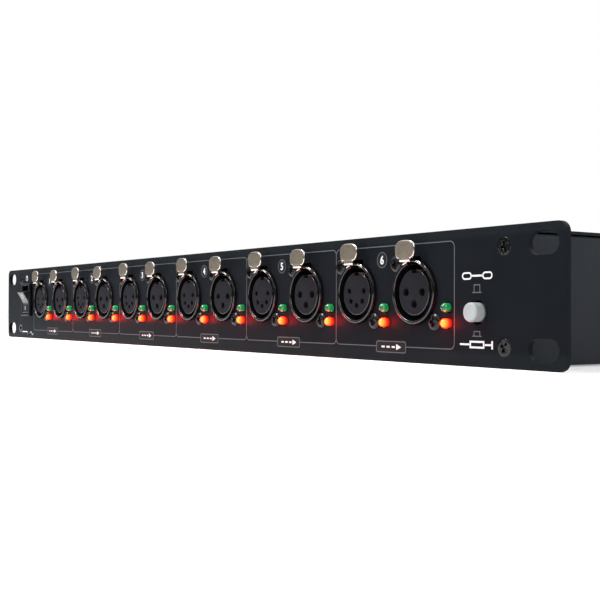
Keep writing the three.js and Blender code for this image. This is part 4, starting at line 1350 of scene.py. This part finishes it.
def latch_mesh(name, reach, drop=0.0):
    """Bent lever in the frame of its socket's axis: tab, arm, trunnions, hook and a strip that
    paints the ring's highlight.
    """
    latch = settings("latch")
    front, skin = -reach, 0.1 * MM
    tab, dull = tab_shells(front, latch.tab_bottom + latch.tab_size[1] / 2 - drop)
    bend, under = front + skin, latch.arm_height
    strip = folded(
        [(bend, latch.tab_bottom + skin), (bend, under), (latch.pivot_depth, under)],
        latch.sheet - skin, radius=0.7 * MM, steps=8)
    arm = eased(bar(strip, *around(0, latch.arm_width / 2)), 0.12 * MM, least=STEEP)
    pivot_height = under + latch.sheet / 2
    trunnion = circle(latch.pivot_depth, pivot_height, 0.9 * MM, steps=24)
    pin = eased(bar(trunnion, *around(0, 3.8 * MM)), 0.12 * MM, least=STEEP)
    tip = under - 0.9 * MM
    hook = bar(
        [(3 * MM, pivot_height), (3.8 * MM, tip), (4.6 * MM, tip), (4.6 * MM, pivot_height)],
        *around(0, 1.8 * MM))
    # These wear the lighter nickel, which paints their highlights
    bright = arm, tab, pin, eased(hook, 0.08 * MM), brow_shell()
    return assemble(name, (polished_nickel(), *bright), (nickel(), *dull))


class SPLITTER_OT_latches(bpy.types.Operator):
    """Latch levers, each on its own body"""

    bl_idname = "splitter.latches"
    bl_label = "Latches"

    def execute(self, context):
        latch, height = settings("latch"), settings("outputs").height
        meshes = {
            3: latch_mesh("lever_3pin", latch.reach_3pin, drop=0.5 * MM),
            5: latch_mesh("lever_5pin", latch.reach_5pin)}
        for number, pins, x in output_places():
            label = f"{pins}pin_{number}"
            self.add(f"lever_{label}", meshes[pins], f"latch_{label}", on_front(x, height))
        for pins in (3, 5):
            place = rear_place(f"link_socket_{pins}pin")
            self.add(f"link_lever_{pins}pin", meshes[pins], f"link_latch_{pins}pin", place)
        return {"FINISHED"}

    @staticmethod
    def add(name, mesh, node, place):
        """A lever for that node, on the body of the same name."""
        add_piece(name, mesh, [node], place, node)


class SPLITTER_OT_lamps(bpy.types.Operator):
    """Lamps with their spacers"""

    bl_idname = "splitter.lamps"
    bl_label = "Lamps"

    def execute(self, context):
        lamp, height = settings("lamp"), settings("outputs").height
        base, foot = lamp.proud - lamp.radius, PLATE_THICKNESS + 0.6 * MM
        angles = [QUARTER * i / 10 for i in range(11)]
        profile = [(lamp.radius * math.sin(a), -base - lamp.radius * math.cos(a)) for a in angles]
        profile += [(lamp.radius, foot), (0, foot)]
        kinds = (
            ("green_lamp", green_lens(), lamp.upper_drop),
            ("red_lamp", red_lens(), lamp.upper_drop + lamp.pitch),
        )
        lenses = {
            name: assemble(name, (glass, turned(profile, steps=32))) for name, glass, _ in kinds}
        spacer = assemble("lamp_spacer", (
            moulded("spacer_plastic", linear(24, 24, 26), 0.5, 0.3),
            block(around(0, 2 * MM), (PLATE_THICKNESS + HOLE_GAP, SOCKET_BACK),
                  around(0, 4.84 * MM), edge=0.2 * MM)))
        for number, pins, x in output_places():
            label, x = f"{pins}pin_{number}", x + lamp.offset
            middle = height - lamp.upper_drop - lamp.pitch / 2
            add_piece(
                f"lamp_spacer_{label}", spacer,
                ["front_board"], on_front(x, middle))
            for name, _, drop in kinds:
                add_piece(
                    f"{name}_{label}", lenses[name],
                    ["front_board"], on_front(x, height - drop))
        return {"FINISHED"}


class SPLITTER_OT_mains_switch(bpy.types.Operator):
    """Mains switch housing and its rocker"""

    bl_idname = "splitter.mains_switch"
    bl_label = "Mains switch"

    def execute(self, context):
        switch = settings("switch")
        well, body = rounded(0, 0, *switch.well, 0.5 * MM, steps=4), rectangle(0, 0, *SWITCH_BODY)
        well_floor, back = 9 * MM, 17 * MM
        shells = [
            plate([rounded(0, 0, *switch.bezel, 1.3 * MM, steps=6), well],
                  -switch.bezel_proud, -0.3 * MM, edge=0.5 * MM, edge_steps=3),
            plate([body, well], -0.6 * MM, well_floor),
            plate([body], well_floor, back, edge=0.3 * MM),
        ]
        blades = [
            block(around(0, 2.4 * MM), (back - 1 * MM, back + 7 * MM),
                  around(side * 3.5 * MM, 0.4 * MM), edge=0.1 * MM)
            for side in (-1, 1)]
        plastic = moulded("switch_plastic", linear(20, 21, 24), 0.3, 0.12)
        mesh = assemble("switch_frame", (plastic, *shells), (bright_contact(), *blades))
        add_piece(
            "switch_frame", mesh, ["switch_housing"], on_front(*switch.place))
        self.rocker(switch)
        return {"FINISHED"}

    def rocker(self, switch):
        """Rocker with a valley across its face; a stroke and a ring mark its halves."""
        half, rise, valley = switch.rocker_half, switch.edge_rise, switch.valley
        slope = switch.hollow / (math.hypot(half, valley) - valley)

        def face(z):
            return switch.hollow - rise - slope * (math.hypot(z, valley) - valley)

        shoulder, keel, keel_half = 4 * MM - rise, 3.4 * MM, 1.7 * MM
        outline = [(face(z), z) for z in (half * (1 - i / 16) for i in range(33))]
        outline += [(shoulder, -half), (keel_half, -keel), (keel, 0), (keel_half, keel),
                    (shoulder, half)]
        body = eased(bar(outline, *around(0, switch.rocker_width / 2)), 0.35 * MM, steps=3)
        pin = bar(circle(0, 0, 1.1 * MM, steps=20), *around(0, 6.05 * MM))
        proud, root = -0.03 * MM, 0.3 * MM
        stroke = block(around(0, 0.25 * MM), (proud, root), (-4.9 * MM, -2.6 * MM))
        ring = plate(
            [circle(0, 3.7 * MM, radius, steps=32) for radius in (1.3 * MM, 0.85 * MM)],
            proud, root)
        for mark in (stroke, ring):
            for vert in mark.verts:
                vert.co.y += face(vert.co.z)
        plastic = moulded("rocker_plastic", switch.plastic, 0.2, 0.42, mottle=0.08)
        sign = ink_finish("sign_ink", settings("ink").sign_colour)
        mesh = assemble("rocker", (plastic, body, pin), (sign, stroke, ring))
        x, z = switch.place
        pivot = Matrix.Translation((x, PANEL_FACE + switch.pivot_depth, z))
        place = pivot @ Matrix.Rotation(switch.tilt, 4, "X")
        add_piece("mains_rocker", mesh, ["power_rocker"], place, "rocker")


class SPLITTER_OT_push_button(bpy.types.Operator):
    """Push button's cap"""

    bl_idname = "splitter.push_button"
    bl_label = "Push button"

    def execute(self, context):
        button = settings("button")
        front, radius, foot = -button.cap_proud, button.cap_radius, 6.5 * MM
        cap = turned(
            [(0, front + 0.22 * MM), (radius * 0.35, front + 0.17 * MM),
             (radius * 0.62, front + 0.05 * MM), *lip(radius, front, 0.6 * MM, steps=6),
             (radius, foot), (0, foot)], steps=64)
        stem = block(
            around(0, 1.5 * MM), (foot - 0.5 * MM, foot + 9 * MM), around(0, 1.5 * MM),
            edge=0.15 * MM)
        plastic = moulded("cap_plastic", button.plastic, 0.42, 0.4, mottle=0.03)
        mesh = assemble("button_cap", (plastic, cap, stem))
        place = on_front(*button.place)
        add_piece("button_cap", mesh, ["terminate_button"], place, "button")
        return {"FINISHED"}


class SPLITTER_OT_printing(bpy.types.Operator):
    """Printed frames, numbers and symbols"""

    bl_idname = "splitter.printing"
    bl_label = "Printing"

    thickness = 0.04 * MM
    # From a group's left edge and the panel's bottom
    number_place = (27.3 * MM, 35.6 * MM)
    arrow_place = (32.25 * MM, 5.15 * MM)

    def execute(self, context):
        ink, outputs = settings("ink"), settings("outputs")
        self.lines = ink_finish("line_ink", ink.line_colour)
        self.signs = ink_finish("sign_ink", ink.sign_colour)
        self.black = ink_finish("field_ink", linear(14, 15, 17))
        self.frames(ink)
        for i in range(outputs.count):
            edge = outputs.first_edge + outputs.pitch * i
            (number_x, number_z), (arrow_x, arrow_z) = self.number_place, self.arrow_place
            self.number(ink, i + 1, edge + number_x, number_z)
            self.arrow(ink, i + 1, edge + arrow_x, arrow_z)
        self.button_signs(ink)
        self.power_sign()
        self.fuse_sign()
        return {"FINISHED"}

    def layer(self, material, loops, step=1.0):
        """A finish and its print, which stands that many thicknesses high."""
        return material, plate(loops, -self.thickness * step, PRINT_ROOT)

    def sheet(self, name, *layers):
        """A piece of print made of layers."""
        add_piece(name, assemble(name, *layers), (), on_front(0, 0))

    def frames(self, ink):
        """The row of frames; its border dips where two rounded corners meet in one line."""
        outputs = settings("outputs")
        count, pitch, corner = outputs.count, outputs.pitch, ink.frame_corner
        outer = corner + ink.line / 2
        dip = math.acos(corner / outer)
        top, bottom = ink.frame_top - corner, ink.frame_bottom + corner
        middle, height = (ink.frame_top + ink.frame_bottom) / 2, ink.frame_top - ink.frame_bottom
        above, below, holes = [], [], []
        for i in range(count):
            left = outputs.first_edge + pitch * i + corner
            right = outputs.first_edge + pitch * (i + 1) - corner
            left_end = HALF_TURN if i == 0 else HALF_TURN - dip
            right_end = 0 if i == count - 1 else dip
            above += arc(left, top, outer, left_end, QUARTER, steps=6)
            above += arc(right, top, outer, QUARTER, right_end, steps=6)
            below += arc(left, bottom, outer, -left_end, -QUARTER, steps=6)
            below += arc(right, bottom, outer, -QUARTER, -right_end, steps=6)
            holes.append(rounded(
                (left + right) / 2, middle, pitch - ink.line, height - ink.line,
                corner - ink.line / 2, steps=6))
        border = above + below[::-1]
        following = border[1:] + border[:1]
        kept = [p for p, q in zip(border, following) if math.dist(p, q) > WELD]
        self.sheet("printed_frames", self.layer(self.lines, [kept, *holes]))

    def number(self, ink, value, x, z):
        """A group's number on a black disc with a thin rim."""
        disc = circle(x, z, ink.disc_radius, steps=48)
        inner = circle(x, z, ink.disc_radius - 0.22 * MM, steps=48)
        self.sheet(
            f"number_{value}",
            self.layer(self.black, [disc], 1.5),
            self.layer(self.lines, [disc, inner], 2),
            (self.signs, self.digit(str(value), 4.1 * MM, x, z)))

    def digit(self, character, size, x, z):
        """A bold digit, centred on its place."""
        curve = bpy.data.curves.new("digit", "FONT")
        curve.body = character
        curve.size = size
        curve.offset = 0.024 * size
        curve.extrude = self.thickness / 2
        curve.resolution_u = 4
        source = bpy.data.objects.new("digit", curve)
        mesh = bpy.data.meshes.new_from_object(source)
        bpy.data.objects.remove(source)
        bpy.data.curves.remove(curve)
        mesh.transform(Matrix.Rotation(QUARTER, 4, "X"))
        xs = [v.co.x for v in mesh.vertices]
        zs = [v.co.z for v in mesh.vertices]
        middle = Vector(((min(xs) + max(xs)) / 2, 0, (min(zs) + max(zs)) / 2))
        mesh.transform(Matrix.Translation(Vector((x, -self.thickness * 2, z)) - middle))
        shell = bmesh.new()
        shell.from_mesh(mesh)
        bpy.data.meshes.remove(mesh)
        bmesh.ops.remove_doubles(shell, verts=shell.verts, dist=WELD)
        return shell

    def arrow(self, ink, number, x, z):
        """Outlined pill over the lower line, with a plain output arrow in it."""
        width, height, line = 16.3 * MM, 4.1 * MM, ink.line
        pill = rounded(x, z, width, height, 0.9 * MM, steps=6)
        inner = rounded(x, z, width - 2 * line, height - 2 * line, 0.6 * MM, steps=6)
        dashes = [rectangle(x + i * 2.8 * MM, z, 1.7 * MM, 0.62 * MM) for i in (-1.5, -0.5, 0.5)]
        back, half = x + 3 * MM, 1.05 * MM
        head = [(back + 2.6 * MM, z), (back, z + half), (back, z - half)]
        self.sheet(
            f"output_mark_{number}",
            self.layer(self.black, [pill], 1.5),
            self.layer(self.lines, [pill, inner], 2),
            self.layer(self.signs, [*dashes, head], 2.5))

    def button_signs(self, ink):
        """Plain signs for the button's two states: out is linked, in is terminated."""
        x = settings("button").place[0]
        stroke, side = 0.6 * MM, 4.6 * MM
        self.sheet("button_states", *[
            self.layer(self.lines, self.raised_button(x, low * MM, high * MM, ink.line))
            for low, high in ((23.4, 26.1), (9.6, 11.4))])
        z = 28.85 * MM
        linked = []
        for end in (x - side, x + side):
            linked += [
                obround(end, z, 4.4 * MM, 2.4 * MM), obround(end, z, 3.4 * MM, 1.4 * MM)]
        linked.append(rectangle(x, z, 4.6 * MM, stroke))
        z = 7.1 * MM
        terminated = [
            rectangle(x - 5.6 * MM, z, 4.2 * MM, stroke),
            rectangle(x, z, 6.6 * MM, 4 * stroke),
            rectangle(x, z, 5.4 * MM, 2 * stroke),
            rectangle(x + 4.9 * MM, z, 2.8 * MM, stroke),
            rectangle(x + 6.7 * MM, z, 0.7 * MM, 2.6 * MM)]
        self.sheet("linked_sign", self.layer(self.signs, linked))
        self.sheet("terminated_sign", self.layer(self.signs, terminated))

    @staticmethod
    def raised_button(x, low, high, line):
        """Outline of a button that stands on a line, and the hole in it."""
        foot, half, step = 2.1 * MM, 1.45 * MM, low + line
        outline = [
            (x - foot, low), (x + foot, low), (x + foot, step), (x + half, step),
            (x + half, high), (x - half, high), (x - half, step), (x - foot, step)]
        hole = rectangle(x, (low + high) / 2, 2 * (half - line), high - low - 2 * line)
        return outline, hole

    def power_sign(self):
        """Broken ring with a stroke, over the mains switch."""
        x, z = settings("switch").place[0] - 2.7 * MM, 38.2 * MM
        gap = math.radians(34)
        start, end = QUARTER + gap, 5 * QUARTER - gap
        ring = arc(x, z, 1.7 * MM, start, end, steps=30)
        ring += arc(x, z, 1.15 * MM, end, start, steps=30)
        stroke = rectangle(x, z + 1.05 * MM, 0.6 * MM, 1.7 * MM)
        self.sheet("power_sign", self.layer(self.signs, [ring, stroke]))

    def fuse_sign(self):
        """Plain sign for the fused mains feed: a fuse, then a wave."""
        x, z, line = -208.5 * MM, 3.2 * MM, 0.42 * MM
        half, wave_start, wave_length, wave_height = 1.1 * MM, 9.4 * MM, 5.6 * MM, 0.85 * MM
        fuse = [rectangle(x, z, 9 * MM, 2 * half)]
        for way in (1, -1):
            window = z + way * (half - line) / 2
            fuse.append(rectangle(x, window, 8.2 * MM, half - 2 * line))
        fuse += [rectangle(x + way * 6 * MM, z, 3 * MM, line) for way in (-1, 1)]
        crest = [
            (x + wave_start + wave_length * i / 24,
             z + wave_height * math.sin(FULL_TURN * i / 24)) for i in range(25)]
        wave = [(u, w + line / 2) for u, w in crest] + [(u, w - line / 2) for u, w in crest[::-1]]
        self.sheet("fuse_sign", self.layer(self.signs, [*fuse, wave]))


def plug_mesh(name, pins):
    """Chassis plug in the frame of its own axis: ring, cup, key and pins."""
    socket, pin = settings("socket"), CONTACTS[pins]["pin"]
    outer, inner = socket.nose_radius, socket.cup_radius
    front = -socket.nose_proud
    start, floor = front + 1.6 * MM, front + 12 * MM
    root = floor + 0.3 * MM
    ring = turned([
        *reversed(lip(inner, front, 0.5 * MM, steps=4, inward=True)),
        *lip(outer, front, 0.45 * MM, steps=5), (outer, floor), (inner, floor)], steps=96)
    behind = housing_shells(settings("case").sheet, floor, 20 * MM, False)
    key = block(
        around(0, 0.9 * MM), (start, floor), (inner - 0.8 * MM, inner + 0.3 * MM), edge=0.1 * MM)
    contacts = [
        turned([(0, start), *lip(pin, start, 0.55 * MM, steps=4), (pin, root), (0, root)],
               steps=24, x=-x, z=z)
        for x, z in contact_places(pins)]
    return assemble(name, (socket_shell(), ring, *behind, key), (bright_contact(), *contacts))


class SPLITTER_OT_input_plugs(bpy.types.Operator):
    """Input plugs on the rear wall"""

    bl_idname = "splitter.input_plugs"
    bl_label = "Input plugs"

    def execute(self, context):
        for pins in (3, 5):
            node = f"input_plug_{pins}pin"
            mesh = plug_mesh(f"rear_{node}", pins)
            add_piece(f"rear_{node}", mesh, [node], rear_place(node))
        return {"FINISHED"}


class SPLITTER_OT_mains_inlet(bpy.types.Operator):
    """Mains inlet with its fuse drawer"""

    bl_idname = "splitter.mains_inlet"
    bl_label = "Mains inlet"

    def execute(self, context):
        inlet = settings("inlet")
        plastic = moulded("inlet_plastic", inlet.plastic, 0.4, 0.3)
        rise, pocket_gap = inlet.well_rise, 0.6 * MM
        half, cut = inlet.well[0] / 2, 4.6 * MM
        low, top = around(rise, inlet.well[1] / 2)
        well = [
            (half, low), (half, top - cut), (half - cut, top),
            (-half + cut, top), (-half, top - cut), (-half, low)]
        pocket = rectangle(
            0, -inlet.drawer_drop, inlet.drawer[0] + pocket_gap, inlet.drawer[1] + pocket_gap)
        outline = rectangle(0, 0, *INLET_BODY)
        well_floor, pocket_floor, back = 12.3 * MM, 17.3 * MM, 24 * MM
        shells = [
            plate([rounded(0, 0, *inlet.flange, 2 * MM, steps=8), well, pocket],
                  -inlet.flange_thickness, -0.3 * MM, edge=0.3 * MM),
            plate([outline, well, pocket], -0.6 * MM, well_floor),
            plate([outline, pocket], well_floor, pocket_floor),
            plate([outline], pocket_floor, back, edge=0.3 * MM),
        ]
        blades = []
        for x, z in ((-7 * MM, rise - 2 * MM), (7 * MM, rise - 2 * MM), (0, rise + 2 * MM)):
            blades.append(block(
                around(x, 1 * MM), (-0.7 * MM, well_floor + 0.3 * MM), around(z, 2 * MM),
                edge=0.35 * MM))
            blades.append(block(
                around(x, 0.4 * MM), (back - 1 * MM, back + 9 * MM), around(z, 3.15 * MM),
                edge=0.1 * MM))
        mesh = assemble("inlet_housing", (plastic, *shells), (bright_contact(), *blades))
        place = on_rear(INLET_X, REAR_HEIGHT)
        add_piece("inlet_housing", mesh, ["mains_inlet"], place)
        mesh = self.drawer(inlet, plastic)
        add_piece("drawer_tray", mesh, ["fuse_drawer"], place, "drawer")
        return {"FINISHED"}

    @staticmethod
    def drawer(inlet, plastic):
        """Fuse drawer: a face with a finger grip, and an open-topped tray behind it."""
        half, rise = inlet.drawer[0] / 2, inlet.drawer[1] / 2
        middle = -inlet.drawer_drop
        low, high = around(middle, rise)
        front, back, wall = -inlet.flange_thickness - 0.8 * MM, 17 * MM, 0.9 * MM
        grip, inside = front + 1.2 * MM, front + 2.4 * MM
        face = plate(
            [rounded(0, middle, 2 * half, 2 * rise, 0.5 * MM, steps=4),
             rounded(0, high - 1.9 * MM, 7 * MM, 1.6 * MM, 0.4 * MM, steps=4)],
            front, grip, edge=0.2 * MM)
        between = (-half + wall, half - wall)
        walls = [
            block(around(0, half), (grip, inside), (low, high)),
            block((-half, -half + wall), (inside, back), (low, high)),
            block((half - wall, half), (inside, back), (low, high)),
            block(between, (inside, back), (low, low + wall)),
            block(between, (back - wall, back), (low + wall, high)),
        ]
        return assemble("drawer_tray", (plastic, face, *walls))


class SPLITTER_OT_inner_parts(bpy.types.Operator):
    """Finishes of the boards, transformer, push switch and fuse"""

    bl_idname = "splitter.inner_parts"
    bl_label = "Inner parts"

    def execute(self, context):
        board = moulded(
            "board_green", linear(38, 96, 62), 0.4, 0.5,
            mottle=0.2, grain=1.2 * MM, relief=0.03 * MM)
        low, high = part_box("front_board")
        back = high.y - PANEL_FACE
        outline = rounded(
            (low.x + high.x) / 2, (low.z + high.z) / 2, high.x - low.x, high.z - low.z,
            0.8 * MM, steps=4)
        upright = assemble(
            "upright_board", (board, plate([outline], back - 1.6 * MM, back, edge=0.1 * MM)))
        add_piece("upright_board", upright, ["front_board"], on_front(0, 0))
        coarse = {"speckle": 0.3, "grain": 1 * MM}
        finishes = {
            "main_board": board,
            "transformer_core": metal(
                "laminations", linear(96, 97, 102), 0.45, streak=(1.0, 12.0, 1.0), **coarse),
            "transformer_winding": metal(
                "enamelled_wire", linear(176, 106, 54), 0.35, streak=(1.0, 1.0, 9.0), **coarse),
            "button_switch": moulded("switch_body", linear(30, 31, 34), 0.45, 0.3),
            "fuse": moulded("fuse_glass", linear(206, 214, 216), 0.12, 0.5, mottle=0.05),
        }
        for node, material in finishes.items():
            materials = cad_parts[node].data.materials
            for i in range(len(materials)):
                materials[i] = material
            if not materials:
                materials.append(material)
        return {"FINISHED"}


OPERATORS = (
    SPLITTER_OT_studio,
    SPLITTER_OT_front_plate,
    SPLITTER_OT_tray,
    SPLITTER_OT_lid,
    SPLITTER_OT_screws,
    SPLITTER_OT_sockets,
    SPLITTER_OT_latches,
    SPLITTER_OT_lamps,
    SPLITTER_OT_mains_switch,
    SPLITTER_OT_push_button,
    SPLITTER_OT_printing,
    SPLITTER_OT_input_plugs,
    SPLITTER_OT_mains_inlet,
    SPLITTER_OT_inner_parts,
)


class SPLITTER_PT_pieces(bpy.types.Panel):
    """Lists the pieces and their settings"""

    bl_label = "DMX splitter"
    bl_idname = "SPLITTER_PT_pieces"
    bl_space_type = "VIEW_3D"
    bl_region_type = "UI"
    bl_category = "Splitter"

    def draw(self, context):
        layout = self.layout
        for operator in OPERATORS:
            layout.operator(operator.bl_idname)
        for group, kind in SETTINGS.items():
            box = layout.box()
            box.label(text=kind.__doc__)
            for name in kind.__annotations__:
                box.prop(settings(group), name)


def register():
    for kind in (*SETTINGS.values(), *OPERATORS, SPLITTER_PT_pieces):
        bpy.utils.register_class(kind)
    for group, kind in SETTINGS.items():
        setattr(bpy.types.Scene, "splitter_" + group, PointerProperty(type=kind))


def unregister():
    for group in SETTINGS:
        delattr(bpy.types.Scene, "splitter_" + group)
    for kind in (SPLITTER_PT_pieces, *reversed(OPERATORS), *reversed(SETTINGS.values())):
        bpy.utils.unregister_class(kind)


def main():
    register()
    for operator in OPERATORS:
        group, name = operator.bl_idname.split(".")
        getattr(getattr(bpy.ops, group), name)()
    bpy.context.view_layer.update()


if __name__ == "__main__":
    main()
